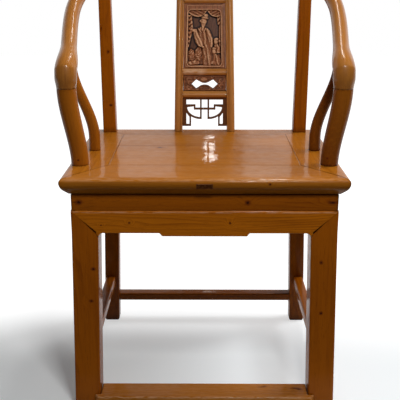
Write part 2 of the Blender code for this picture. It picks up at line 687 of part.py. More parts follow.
class Horseshoe:
    """Rings of the right half of the rail, from the crest's middle to the foot of the elbow."""

    def __init__(self):
        line = rail_centre_line()
        steps = np.linalg.norm(np.diff(line, axis=0), axis=1)
        run = np.concatenate([[0.0], np.cumsum(steps)])
        bend = run[-1] - 2 * (ELBOW_RADIUS + ELBOW_LENGTH)
        count = RAIL_STATIONS * 2 // 3
        self.run = np.concatenate([np.linspace(0, bend, count, endpoint=False),
                                   np.linspace(bend, run[-1], RAIL_STATIONS - count)])
        self.centre = np.stack([np.interp(self.run, run, line[:, k]) for k in range(3)], axis=1)
        nudge = 0.001
        ahead = np.stack([np.interp(self.run + nudge, run, line[:, k]) for k in range(3)], axis=1)
        behind = np.stack([np.interp(self.run - nudge, run, line[:, k]) for k in range(3)], axis=1)
        self.tangent = ahead - behind
        self.tangent[0] = (1, 0, 0)
        self.tangent /= np.linalg.norm(self.tangent, axis=1)[:, None]
        self.tangent[-1] = (0, 0, -1)
        self.normal = self.carry_normal()
        self.length = run[-1]

    def carry_normal(self):
        """Carry the first ring's upward direction along the line without twist."""
        normals = [np.array((0.0, 0.0, 1.0))]
        for tangent in self.tangent[1:]:
            flat = normals[-1] - tangent * np.dot(normals[-1], tangent)
            normals.append(flat / np.linalg.norm(flat))
        return np.array(normals)

    def diameter(self, run):
        """Rail diameter: crest, arm, then fuller at the elbow and the post's size at its foot."""
        elbow = self.length - ELBOW_LENGTH
        arm_start = math.pi / 4 * (HORSESHOE_BEND + ARM_SPAN_MIDDLE / 2)
        marks = [0.0, arm_start, elbow - ELBOW_FLARE, elbow, self.length]
        sizes = [CREST_DIAMETER, RAIL_DIAMETER, RAIL_DIAMETER, ELBOW_DIAMETER, FRONT_POST_DIAMETER]
        return float(np.interp(run, marks, sizes))

    def ring(self, k, side, extra=0.0):
        """Ring of points at station k on one side, grown by extra all round."""
        centre = self.centre[k]
        normal = self.normal[k]
        across = np.cross(self.tangent[k], normal)
        radius = self.diameter(self.run[k]) / 2 + extra
        turn = (np.arange(RAIL_SIDES) + 0.5) * (2 * math.pi / RAIL_SIDES)
        points = centre + radius * (np.outer(np.cos(turn), normal) + np.outer(np.sin(turn), across))
        points[:, 0] *= side
        return points

    def piece(self, name, first, last, side, colour=None, extra=0.0):
        """Loft of the stations from first to last; negative stations lie on the left."""
        rings = []
        for k in range(first, last + 1):
            rings.append(self.ring(abs(k), side if k >= 0 else -side, extra))
        return loft(name, rings, colour)

    def frame_at(self, run):
        """Centre, tangent, upward normal and sideways direction at a distance along the rail."""
        centre = np.array([np.interp(run, self.run, self.centre[:, k]) for k in range(3)])
        tangent = np.array([np.interp(run, self.run, self.tangent[:, k]) for k in range(3)])
        tangent /= np.linalg.norm(tangent)
        up = np.array((0.0, 0.0, 1.0))
        normal = up - tangent * np.dot(up, tangent)
        normal /= np.linalg.norm(normal)
        return centre, tangent, normal, np.cross(tangent, normal)


def scarf_joint(horseshoe, name, side):
    """Lapped scarf between crest and arm, locked by a square pin across the lap."""
    centre, tangent, normal, across = horseshoe.frame_at(SCARF_REACH)
    gap = CLEARANCE / 2
    end = SCARF_LENGTH / 2
    far = 2 * SCARF_LENGTH

    def place(u, v, w):
        point = centre + u * tangent + v * normal + w * across
        return (side * point[0], point[1], point[2])

    arm_outline = [(-far, -far), (end + gap, -far), (end + gap, gap), (-end + gap, gap),
                   (-end + gap, far), (-far, far)]
    crest_outline = [(far, -far), (far, far), (-end - gap, far), (-end - gap, -gap),
                     (end - gap, -gap), (end - gap, -far)]
    arm_tool = prism(f"arm_lap_{name}", arm_outline, place, -RAIL_DIAMETER, RAIL_DIAMETER)
    crest_tool = prism(f"crest_lap_{name}", crest_outline, place, -RAIL_DIAMETER, RAIL_DIAMETER)
    cut(arm_tool, f"arm_rail_{name}")
    cut(crest_tool, "crest_rail")
    a = SCARF_PIN_SIZE / 2
    b = a + CLEARANCE
    reach = horseshoe.diameter(SCARF_REACH) / 2 * SCARF_PIN_SHARE
    pin = [(-a, -a), (a, -a), (a, a), (-a, a)]
    hole = [(-b, -b), (b, -b), (b, b), (-b, b)]
    prism(f"scarf_pin_{name}", pin, place, -reach, reach, LEG_WOOD)
    bore = prism(f"scarf_hole_{name}", hole, place, -RAIL_DIAMETER, RAIL_DIAMETER)
    cut(bore, f"arm_rail_{name}", "crest_rail")


def horseshoe_rail():
    """Crest and two arms on one centre line, and the grown copy that posts are scribed to."""
    horseshoe = Horseshoe()
    slack = SCARF_LENGTH
    crest_end = int(np.searchsorted(horseshoe.run, SCARF_REACH + slack))
    arm_start = int(np.searchsorted(horseshoe.run, SCARF_REACH - slack)) - 1
    last = len(horseshoe.run) - 1
    horseshoe.piece("crest_rail", -crest_end, crest_end, 1, RAIL_WOOD)
    scribe = horseshoe.piece("rail_scribe", -last, last, 1, extra=CLEARANCE)
    scribe.hide_render = True
    scribe.display_type = "WIRE"
    for name, side in SIDES.items():
        horseshoe.piece(f"arm_rail_{name}", arm_start, last, side, RAIL_WOOD)
        scarf_joint(horseshoe, name, side)
    return horseshoe


def seat_under_rail(name, rail, centre):
    """Scribe a post's top to the rail over it and give it a round tenon in a bore."""
    x, y, z = centre
    boolean(pieces[name], bpy.data.objects["rail_scribe"], "DIFFERENCE")
    low = z - RAIL_DIAMETER
    high = z + RAIL_TENON_RISE
    join(peg(f"{name}_tenon", x, y, low, high, RAIL_TENON_DIAMETER), name)
    bore = peg(f"{name}_bore", x, y, low, high + CLEARANCE, RAIL_TENON_DIAMETER + 2 * CLEARANCE)
    cut(bore, rail)


def front_arm_posts():
    """S-curved posts from the seat frame to the elbows, with a round tenon at each end."""
    gap = CLEARANCE
    base = HALF_SEAT - FRONT_POST_INSET
    top_x = arm_x(ELBOW_Y)
    top = SEAT_HEIGHT + ARM_HEIGHT - ELBOW_LENGTH - gap
    neck = FRONT_POST_TENON_DIAMETER
    for name, side in SIDES.items():
        low = SEAT_HEIGHT - FRONT_POST_TENON_LENGTH
        high = top + FRONT_POST_TENON_LENGTH
        rings = [round_ring(side * base, ELBOW_Y, z, neck) for z in (low, SEAT_HEIGHT + gap)]
        for t in np.linspace(0, 1, POST_STATIONS):
            x = base + (top_x - base) * smooth_step(t)
            z = SEAT_HEIGHT + gap + t * (top - SEAT_HEIGHT - gap)
            rings.append(round_ring(side * x, ELBOW_Y, z, FRONT_POST_DIAMETER))
        rings += [round_ring(side * top_x, ELBOW_Y, z, neck) for z in (top, high)]
        loft(f"front_arm_post_{name}", rings, RAIL_WOOD)
        wide = neck + 2 * gap
        cut(peg(f"front_post_mortise_{name}", side * base, ELBOW_Y, low - gap, SEAT_HEIGHT + FAR, wide),
            f"seat_frame_{name}")
        cut(peg(f"elbow_bore_{name}", side * top_x, ELBOW_Y, SEAT_HEIGHT, high + gap, wide),
            f"arm_rail_{name}")


def side_arm_posts():
    """Slim S-curved posts from the seat frame to the middle of the arms."""
    gap = CLEARANCE
    base = HALF_SEAT - SIDE_POST_INSET
    y = SIDE_POST_SETBACK
    top_x = arm_x(y)
    top = rail_height(y)
    neck = SIDE_POST_TENON_DIAMETER
    low = SEAT_HEIGHT - SIDE_POST_TENON_LENGTH
    for name, side in SIDES.items():
        rings = [round_ring(side * base, y, z, neck) for z in (low, SEAT_HEIGHT + gap)]
        for t in np.linspace(0, 1, POST_STATIONS + 2):
            x = base + (top_x - base) * smooth_step(SIDE_POST_SWING * t - SIDE_POST_SWING_START)
            z = SEAT_HEIGHT + gap + t * (top - SEAT_HEIGHT - gap)
            size = SIDE_POST_DIAMETER + (SIDE_POST_TOP_DIAMETER - SIDE_POST_DIAMETER) * t
            rings.append(round_ring(side * x, y, z, size))
        loft(f"side_arm_post_{name}", rings, RAIL_WOOD)
        mortise = peg(f"side_post_mortise_{name}", side * base, y, low - gap, SEAT_HEIGHT + FAR,
                      neck + 2 * gap)
        cut(mortise, f"seat_frame_{name}")
        seat_under_rail(f"side_arm_post_{name}", f"arm_rail_{name}", (side * top_x, y, top))


class Splat:
    """Curved back splat: two grooved stiles that hold rails, panels and the fret."""

    def __init__(self):
        over = rail_point_over(SPLAT_TOP_WIDTH / 2 - STILE_WIDTH / 2)
        self.top = over[2] - SEAT_HEIGHT
        self.top_y = over[1]
        rail = SPLAT_RAIL_HEIGHT
        marks = [0.0, LOWER_RAIL_BOTTOM, LOWER_RAIL_BOTTOM + rail, MIDDLE_RAIL_BOTTOM,
                 MIDDLE_RAIL_BOTTOM + rail, UPPER_RAIL_BOTTOM, UPPER_RAIL_BOTTOM + rail, self.top]
        grid = []
        for low, high in zip(marks, marks[1:]):
            pieces_here = 1 if low == 0.0 else max(1, round((high - low) / rail))
            grid += list(np.linspace(low, high, pieces_here, endpoint=False))
        self.grid = np.array(grid + [self.top])
        t = self.grid / self.top
        lean = SPLAT_STRAIGHTNESS * t + (1 - SPLAT_STRAIGHTNESS) * t * t * (3 - 2 * t)
        self.grid_y = SPLAT_SETBACK + (self.top_y - SPLAT_SETBACK) * lean

    def y(self, z):
        """Middle of the splat's thickness at a height over the seat."""
        return float(np.interp(z, self.grid, self.grid_y))

    def half_width(self, z):
        """Half of the splat's outer width at a height over the seat."""
        return (SPLAT_WIDTH + (SPLAT_TOP_WIDTH - SPLAT_WIDTH) * z / self.top) / 2

    def stations(self, low, high):
        """Heights for the rings of a piece: its ends and the bends between them."""
        inside = [z for z in self.grid if low + 1e-6 < z < high - 1e-6]
        return [low] + inside + [high]

    def stile(self, name, side):
        """Stile with the panel groove on its inner edge, tenoned into seat frame and crest."""
        depth = STILE_DEPTH / 2
        slot = SPLAT_GROOVE_WIDTH / 2
        gap = CLEARANCE
        rings = []
        inner = self.half_width(0) - STILE_WIDTH
        x0 = inner + SPLAT_GROOVE_DEPTH + LEG_CHAMFER
        x1 = self.half_width(0) - LEG_CHAMFER
        half = STILE_DEPTH / 4
        plan = [(x1, -half), (x1, half), (x0, half), (x0, half / 2), (x0, half / 4), (x0, -half / 4),
                (x0, -half / 2), (x0, -half)]
        y = self.y(0)
        for z in (SEAT_HEIGHT - STILE_TENON_LENGTH, SEAT_HEIGHT + gap):
            rings.append([(side * u, y + v, z) for u, v in plan])
        for z in self.stations(gap, self.top):
            outer = self.half_width(z)
            inner = outer - STILE_WIDTH
            deep = inner + SPLAT_GROOVE_DEPTH
            ring = [(outer, -depth), (outer, depth), (inner, depth), (inner, slot), (deep, slot),
                    (deep, -slot), (inner, -slot), (inner, -depth)]
            rings.append([(side * u, self.y(z) + v, SEAT_HEIGHT + z) for u, v in ring])
        loft(f"splat_stile_{name}", rings, RAIL_WOOD)
        low = (side * x0 - side * gap, y - half - gap, SEAT_HEIGHT - STILE_TENON_LENGTH - gap)
        high = (side * x1 + side * gap, y + half + gap, SEAT_HEIGHT + FAR)
        cut(box(f"stile_mortise_{name}", low, high), "seat_frame_back")
        middle = (x0 + x1) / 2 - (self.half_width(0) - self.half_width(self.top))
        over = rail_point_over(middle)
        seat_under_rail(f"splat_stile_{name}", "crest_rail", (side * middle, over[1], over[2]))

    def panel(self, name, low, high, thickness, colour):
        """Rail or panel between the stiles, with tongues in their grooves."""
        half = thickness / 2
        slot = SPLAT_GROOVE_WIDTH / 2 - CLEARANCE
        rings = []
        for z in self.stations(low, high):
            inner = self.half_width(z) - STILE_WIDTH - CLEARANCE
            tongue = inner + SPLAT_TONGUE
            ring = [(-tongue, -slot), (-inner, -slot), (-inner, -half), (inner, -half), (inner, -slot),
                    (tongue, -slot), (tongue, slot), (inner, slot), (inner, half), (-inner, half),
                    (-inner, slot), (-tongue, slot)]
            rings.append([(u, self.y(z) + v, SEAT_HEIGHT + z) for u, v in ring])
        loft(name, rings, colour)

    def pierced_opening(self):
        """Opening of two diamonds joined by a narrow waist, cut through the small panel."""
        middle = (LOWER_RAIL_BOTTOM + SPLAT_RAIL_HEIGHT + MIDDLE_RAIL_BOTTOM) / 2
        reach = PIERCED_LENGTH / 2
        rise = PIERCED_HEIGHT / 2
        peak = reach - rise
        neck = rise / 4
        half = [(neck, neck), (peak, rise), (reach, 0.0), (peak, -rise), (neck, -neck)]
        outline = half + [(-u, v) for u, v in reversed(half)]
        y = self.y(middle)

        def place(u, v, w):
            return (u, w, SEAT_HEIGHT + middle + v)
        tool = prism("pierced_opening", outline, place, y - STILE_DEPTH, y + STILE_DEPTH)
        cut(tool, "splat_panel_pierced")

    def fret(self):
        """Key fret sawn from one board, hung in the grooves under the lower rail."""
        top = SEAT_HEIGHT + LOWER_RAIL_BOTTOM - CLEARANCE
        inner = self.half_width(LOWER_RAIL_BOTTOM) - STILE_WIDTH
        outlines = fret_outlines(inner, inner + SPLAT_TONGUE)
        thickness = SPLAT_GROOVE_WIDTH - 2 * CLEARANCE
        bm = pierced_plate(outlines, thickness)
        for vert in bm.verts:
            x, down, w = vert.co
            z = top - down
            vert.co = (x, self.y(z - SEAT_HEIGHT) + w, z)
        add_mesh("splat_fret", bm, CARVED_WOOD)


def fret_outlines(inner, edge):
    """Outer outline of the fret and its holes, as (x, distance below the lower rail) points."""
    bar = FRET_BAR
    half_bar = bar / 2
    strip = inner - 2 * bar
    rod = FRET_ROD_BARS * bar
    key_x = inner / 2 - half_bar
    key_y = FRET_KEY_BARS * bar
    bridge = FRET_BRIDGE_BARS * bar
    arc_top = key_y + bar
    arc_foot = FRET_ARC_BARS * bar
    post = strip - FRET_POST_BARS * bar
    foot = FRET_HEIGHT
    turn = np.linspace(0, math.pi / 2, 2 * ARC_STEPS)

    def arc(shrink, start=0.0):
        wide = strip + half_bar - shrink - rod
        tall = arc_foot - arc_top - shrink
        return [(rod + wide * math.cos(a), arc_top + tall * math.sin(a)) for a in turn if a >= start]

    outer_arc = [point for point in arc(0.0) if point[0] < post - half_bar]
    half = [(edge, 0.0), (edge, foot), (post - half_bar, foot)]
    half.append((post - half_bar, float(np.interp(-(post - half_bar), [-p[0] for p in arc(0.0)],
                                                  [p[1] for p in arc(0.0)]))))
    half += outer_arc[:-1] + [(rod - half_bar, arc_foot), (rod - half_bar, bridge + half_bar)]
    outer = half + [(-x, y) for x, y in reversed(half)]
    window = [(rod - half_bar, bar), (rod - half_bar, bridge - half_bar)]
    holes = [window + [(-x, y) for x, y in reversed(window)]]
    upper = [(rod + half_bar, bar), (strip, bar), (strip, key_y - half_bar),
             (key_x - half_bar, key_y - half_bar), (key_x - half_bar, bridge - half_bar),
             (rod + half_bar, bridge - half_bar)]
    lower = [(rod + half_bar, bridge + half_bar), (key_x + half_bar, bridge + half_bar),
             (key_x + half_bar, key_y + half_bar)]
    inner_arc = [p for p in arc(bar) if p[1] > key_y + half_bar and p[0] > rod + half_bar]
    lower += inner_arc + [(rod + half_bar, arc_foot - bar)]
    arc_x = [-p[0] for p in arc(0.0)]
    arc_y = [p[1] for p in arc(0.0)]
    slot_in = post + half_bar
    slot_out = strip
    slot = [(slot_out, float(np.interp(-slot_out, arc_x, arc_y)) + bar),
            (slot_in, float(np.interp(-slot_in, arc_x, arc_y)) + bar), (slot_in, foot - bar),
            (slot_out, foot - bar)]
    for hole in (upper, lower, slot):
        holes.append(hole)
        holes.append([(-x, y) for x, y in hole])
    return [outer] + holes


def pierced_plate(outlines, thickness):
    """Plate with holes: the first outline is its edge, the others are its openings."""
    curve = bpy.data.curves.new("plate_outline", "CURVE")
    curve.dimensions = "2D"
    curve.fill_mode = "BOTH"
    curve.extrude = thickness / 2
    for outline in outlines:
        spline = curve.splines.new("POLY")
        spline.points.add(len(outline) - 1)
        for point, (x, y) in zip(spline.points, outline):
            point.co = (x, y, 0.0, 1.0)
        spline.use_cyclic_u = True
    holder = bpy.data.objects.new("plate_outline", curve)
    mesh = bpy.data.meshes.new_from_object(holder)
    bm = bmesh.new()
    bm.from_mesh(mesh)
    bmesh.ops.remove_doubles(bm, verts=bm.verts, dist=1e-6)
    bpy.data.objects.remove(holder)
    bpy.data.meshes.remove(mesh)
    return bm


def splat():
    """All the pieces of the splat, from the seat up."""
    back = Splat()
    gap = CLEARANCE
    rail = SPLAT_RAIL_HEIGHT
    for name, side in SIDES.items():
        back.stile(name, side)
    bottoms = {"lower": LOWER_RAIL_BOTTOM, "middle": MIDDLE_RAIL_BOTTOM, "upper": UPPER_RAIL_BOTTOM}
    for name, low in bottoms.items():
        back.panel(f"splat_rail_{name}", low, low + rail, SPLAT_RAIL_DEPTH, RAIL_WOOD)
    spans = {"pierced": (LOWER_RAIL_BOTTOM + rail + gap, MIDDLE_RAIL_BOTTOM - gap),
             "carved": (MIDDLE_RAIL_BOTTOM + rail + gap, UPPER_RAIL_BOTTOM - gap),
             "upper": (UPPER_RAIL_BOTTOM + rail + gap, back.top)}
    for name, (low, high) in spans.items():
        back.panel(f"splat_panel_{name}", low, high, SPLAT_PANEL_THICKNESS, CARVED_WOOD)
    boolean(pieces["splat_panel_upper"], bpy.data.objects["rail_scribe"], "DIFFERENCE")
    back.pierced_opening()
    back.fret()


def centre_origin():
    """Move the chair so that the origin lies under the middle of its footprint."""
    spans = [corner.co.y for piece in pieces.values() for corner in piece.data.vertices]
    root.location = (0.0, -(min(spans) + max(spans)) / 2, 0.0)


def shade_round_pieces():
    """Smooth shading with sharp arrises on every piece."""
    for piece in pieces.values():
        piece.data.shade_smooth()
        piece.data.set_sharp_from_angle(angle=math.radians(35))


def main():
    """Build the chair from the seat outwards."""
    clear_scene()
    seat_frame()
    seat_boards()
    battens()
    edge_plate()
    waist()
    front_legs()
    horseshoe_rail()
    back_legs()
    apron_front()
    aprons_side_and_back()
    footrest()
    stretchers()
    front_arm_posts()
    side_arm_posts()
    splat()
    centre_origin()
    shade_round_pieces()


main()
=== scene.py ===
"""Horseshoe-back armchair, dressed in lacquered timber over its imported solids.

Lengths are in metres. X runs across the chair, Y runs back from the sitter's knees and Z
runs up from the floor. Sizes that run back are counted from the nose of the seat, and
`Sizes.back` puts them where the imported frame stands.
"""
import json
import logging
import math
from dataclasses import dataclass
from enum import Enum
from typing import Callable, ClassVar, Sequence

import bpy
import numpy as np
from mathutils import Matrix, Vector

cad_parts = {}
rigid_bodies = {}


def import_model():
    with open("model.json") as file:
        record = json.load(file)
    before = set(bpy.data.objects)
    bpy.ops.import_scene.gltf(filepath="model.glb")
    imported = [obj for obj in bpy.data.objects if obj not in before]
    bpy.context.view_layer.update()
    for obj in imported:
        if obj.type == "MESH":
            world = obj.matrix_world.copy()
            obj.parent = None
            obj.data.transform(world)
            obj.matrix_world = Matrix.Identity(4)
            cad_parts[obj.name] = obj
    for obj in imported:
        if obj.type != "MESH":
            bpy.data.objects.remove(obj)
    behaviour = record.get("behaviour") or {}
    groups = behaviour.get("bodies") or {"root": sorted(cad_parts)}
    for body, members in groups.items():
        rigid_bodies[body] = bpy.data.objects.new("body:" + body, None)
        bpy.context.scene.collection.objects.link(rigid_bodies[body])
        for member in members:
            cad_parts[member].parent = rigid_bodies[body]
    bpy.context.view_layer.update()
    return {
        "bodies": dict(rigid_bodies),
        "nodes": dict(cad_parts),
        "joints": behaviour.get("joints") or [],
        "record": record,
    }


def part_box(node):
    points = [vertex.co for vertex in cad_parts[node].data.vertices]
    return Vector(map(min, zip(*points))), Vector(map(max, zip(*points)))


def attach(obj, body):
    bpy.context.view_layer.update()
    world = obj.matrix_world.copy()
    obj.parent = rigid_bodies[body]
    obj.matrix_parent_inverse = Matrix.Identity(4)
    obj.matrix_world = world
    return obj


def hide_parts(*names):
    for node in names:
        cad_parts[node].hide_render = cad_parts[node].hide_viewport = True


Array = np.ndarray
Real = np.ndarray | float
Pair = tuple[float, float]
Triple = tuple[float, float, float]
Colour = Triple
Reach = float | Pair
Corner = tuple[Pair, Reach]
Rim = tuple[Triple, ...]
Carve = Callable[[Array, Array], tuple[Array, Array]]
Socket = bpy.types.NodeSocket
log = logging.getLogger("armchair")

WHITE = (1.0, 1.0, 1.0, 1.0)
PALE_WEAR_AND_HIGHLIGHT = (0.66, 0.4, 0.24)
KNOT_HALO = (0.11, 0.018, 0.003)
KNOT_CORE = (0.026, 0.005, 0.002)
KNOT_DEPTH = 0.006
QUARTER_TURN = math.pi / 2


class Side(Enum):
    """Left and right of the chair as the viewer sees them."""

    LEFT = -1
    RIGHT = 1

    @property
    def word(self) -> str:
        """Name used in the frame's nodes."""
        return self.name.lower()

    def flip(self, points: Array) -> Array:
        """Points of the right-hand side, mirrored where this is the left."""
        return points * np.array([self.value] + [1.0] * (points.shape[-1] - 1))


class Axis(Enum):
    """Direction in which a straight bar runs."""

    ACROSS = 0
    BACK = 1
    UP = 2


class Slot(Enum):
    """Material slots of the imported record."""

    SEAT = "seat_wood"
    LEG = "leg_wood"
    RAIL = "rail_wood"
    CARVED = "carved_wood"
    PLATE = "plate_metal"


class Look(Enum):
    """Finishes of the chair."""

    SEAT = "seat_lacquer"
    LEG = "leg_lacquer"
    APRON = "apron_lacquer"
    RAIL = "rail_lacquer"
    STEP = "step_timber"
    POST = "post_lacquer"
    SPLAT = "splat_lacquer"
    FRET = "fret_lacquer"
    RAW = "unlacquered_timber"
    CARVED = "carved_lacquer"
    PLATE = "aged_plate"


class Waves(Enum):
    """Noises of the finishes: waves to the metre along and across the grain, and their detail."""

    DRIFT = (2.2, 11.0, 3.0)
    STRENGTH = (1.1, 14.0, 1.0)
    CLOUD = (2.4, 17.0, 2.0)
    FIBRE = (9.0, 330.0, 3.0)
    CARVED_FIBRE = (14.0, 260.0, 3.0)
    SCUFF_AND_HIGHLIGHT = (60.0, 420.0, 4.0)
    PORE = (45.0, 1500.0, 1.0)
    LACQUER = (16.0, 16.0, 2.0)
    DULL = (60.0, 60.0, 3.0)
    SPECK = (160.0, 160.0, 4.0)
    PEEL = (230.0, 230.0, 1.0)
    TARNISH = (260.0, 260.0, 4.0)
    DUST = (380.0, 380.0, 3.0)
    KNOT = (420.0, 420.0, 2.0)


def smooth_step(t: Array) -> Array:
    """S-shaped ramp 3t^2 - 2t^3 from 0 to 1, level at both ends."""
    t = np.clip(t, 0.0, 1.0)
    return t * t * (3 - 2 * t)


def between(start: Real, end: Real, share: Array) -> Array:
    """Straight mix start + (end - start) * share."""
    return start + (end - start) * share


def fade(distance: Array, reach: float, most: float = 1.0) -> Array:
    """Tone that dies away from an edge: most * exp(-distance / reach)."""
    return most * np.exp(-distance / reach)


def hump(offset: Array, width: float) -> Array:
    """Soft hump exp(-(offset / width)^2)."""
    return np.exp(-(offset / width) ** 2)


def spread(*parts: Real) -> Array:
    """Points from their coordinates, which stretch to fit each other."""
    return np.stack(np.broadcast_arrays(*parts), axis=-1)


def unit(vectors: Array) -> Array:
    """Vectors scaled to length one."""
    return vectors / np.linalg.norm(vectors, axis=-1, keepdims=True)


def run_length(line: Array) -> Array:
    """Length along a line of points, counted from its first one."""
    return np.concatenate([[0.0], np.cumsum(np.linalg.norm(np.diff(line, axis=0), axis=1))])


def rounded(corners: Sequence[Pair] | Array, reach: Sequence[Reach], steps: int = 6) -> Array:
    """Closed outline whose corners are eased by quadratic curves.

    A corner C between A (on the edge before it) and B (on the edge after it) becomes the
    curve (1-t)^2 A + 2t(1-t) C + t^2 B. Where the curves of two corners would overlap on an
    edge, both reaches shrink alike.

    Args:
        corners: The outline's corners in order.
        reach: For each corner, how far the curve runs along its edges: one length, or two.
        steps: Points on each curve.
    Returns:
        Points of the outline, (corners * steps, 2).
    """
    corner = np.array(corners, float)
    spans = np.array([np.broadcast_to(length, 2) for length in reach], float)
    edge = np.linalg.norm(np.roll(corner, -1, axis=0) - corner, axis=1)
    fit = np.minimum(1.0, 0.96 * edge / (spans[:, 1] + np.roll(spans[:, 0], -1)))
    spans = spans * spread(np.roll(fit, 1), fit)
    before = unit(np.roll(corner, 1, axis=0) - corner)
    after = unit(np.roll(corner, -1, axis=0) - corner)
    start = (corner + before * spans[:, :1])[:, None]
    end = (corner + after * spans[:, 1:])[:, None]
    t = np.linspace(0, 1, steps)[None, :, None]
    curve = (1 - t) ** 2 * start + 2 * t * (1 - t) * corner[:, None] + t * t * end
    return curve.reshape(-1, 2)


def profile(rows: Sequence[Corner], steps: int) -> Array:
    """Eased outline from rows that give a corner and its reach."""
    corners, reach = zip(*rows)
    return rounded(corners, reach, steps)


def box_corners(low: Pair, high: Pair) -> list[Pair]:
    """Corners of a rectangle in order."""
    return [low, (high[0], low[1]), high, (low[0], high[1])]


def rounded_box(low: Pair, high: Pair, reach: float, steps: int = 6) -> Array:
    """Outline of a rectangle between two corners, with eased corners."""
    return rounded(box_corners(low, high), [reach] * 4, steps)


def circle(count: int) -> Array:
    """Points (cos a, sin a) round the unit circle."""
    turn = np.arange(count) * (2 * math.pi / count)
    return spread(np.cos(turn), np.sin(turn))


def near_ends(length: float, middle: int = 4) -> Array:
    """Stations from 0 to 1 that gather at both ends of a length, where joints collect grime."""
    close = np.array([0.0, 0.0006, 0.0018, 0.004, 0.009]) / length
    return np.concatenate([close, np.linspace(0.1, 0.9, middle), 1 - close[::-1]])


def joint_grime(stations: Array, length: float) -> Array:
    """Grime that dies away from both ends of a piece."""
    return fade(np.minimum(stations, 1 - stations) * length, 0.0016, 0.75)[:, None]


def bar(section: Array, start: Array, end: Array, stations: Array, axis: Axis) -> tuple[Array, Array]:
    """Section carried straight, each of its points from its own start to its own end.

    The point of the section at (a, b) runs along w = start + (end - start) * s, which
    gives square, mitred and sheared ends.

    Args:
        section: Outline as (a, b) points.
        start: Start of each point's run, or one number.
        end: End of each point's run, or one number.
        stations: Values of s.
        axis: Direction of the run.
    Returns:
        Rings of points and their grain coordinates, both (stations, points, 3).
    """
    a, b = section.T
    w = between(start, end, stations[:, None])
    order = {Axis.ACROSS: (w, a, b), Axis.BACK: (a, w, b), Axis.UP: (a, b, w)}[axis]
    return spread(*order), spread(w, a, b)


def drawn_in(corners: Array, inset: float) -> Array:
    """Outline with every edge moved inwards; its corners are where the moved edges meet.

    A corner between edges of inward normals m and n moves by inset * (m + n) / (1 + m . n).

    Args:
        corners: Corners of the outline, (corners, 2).
        inset: Distance that the edges move.
    Returns:
        The new corners.
    """
    following = np.roll(corners, -1, axis=0)
    run = unit(following - corners)
    area = np.sum(corners[:, 0] * following[:, 1] - corners[:, 1] * following[:, 0])
    after = spread(-run[:, 1], run[:, 0]) * np.sign(area)
    before = np.roll(after, 1, axis=0)
    return corners + inset * (before + after) / (1 + np.sum(before * after, axis=1, keepdims=True))


def slab(corners: Sequence[Pair], reach: Sequence[Reach], rim: Rim, top: float,
         steps: int = 6) -> tuple[Array, Array]:
    """Board with an eased rim: its outline drawn in by its own amount at each level.

    Args:
        corners: Corners of the board's outline.
        reach: Easing of each corner, as for `rounded`.
        rim: For each ring its level over the board's top, its inset and its tone.
        top: Height of the board's top.
        steps: Points on each corner.
    Returns:
        Rings, (levels, points, 3), and their tone, (levels, 1).
    """
    level, inset, tone = np.array(rim).T
    plans = np.stack([rounded(drawn_in(np.array(corners, float), share), reach, steps) for share in inset])
    return spread(plans[..., 0], plans[..., 1], (top + level)[:, None]), tone[:, None]


def placed(name: str, data: bpy.types.ID) -> bpy.types.Object:
    """New object in the scene."""
    made = bpy.data.objects.new(name, data)
    bpy.context.scene.collection.objects.link(made)
    return made


@dataclass
class Shell:
    """Closed surface over rings of points.

    Every point has a grain coordinate, whose first part runs along the timber, and a tone:
    above zero the finish is grimed or darkened with painted shade, below zero it is rubbed pale
    or lightened with a painted highlight. Flat ends close the rings, or an apex over the last
    one, or they join into a loop.
    """

    rings: Array
    grain: Array
    tone: Real = 0.0
    apex: Array | None = None
    loop: bool = False


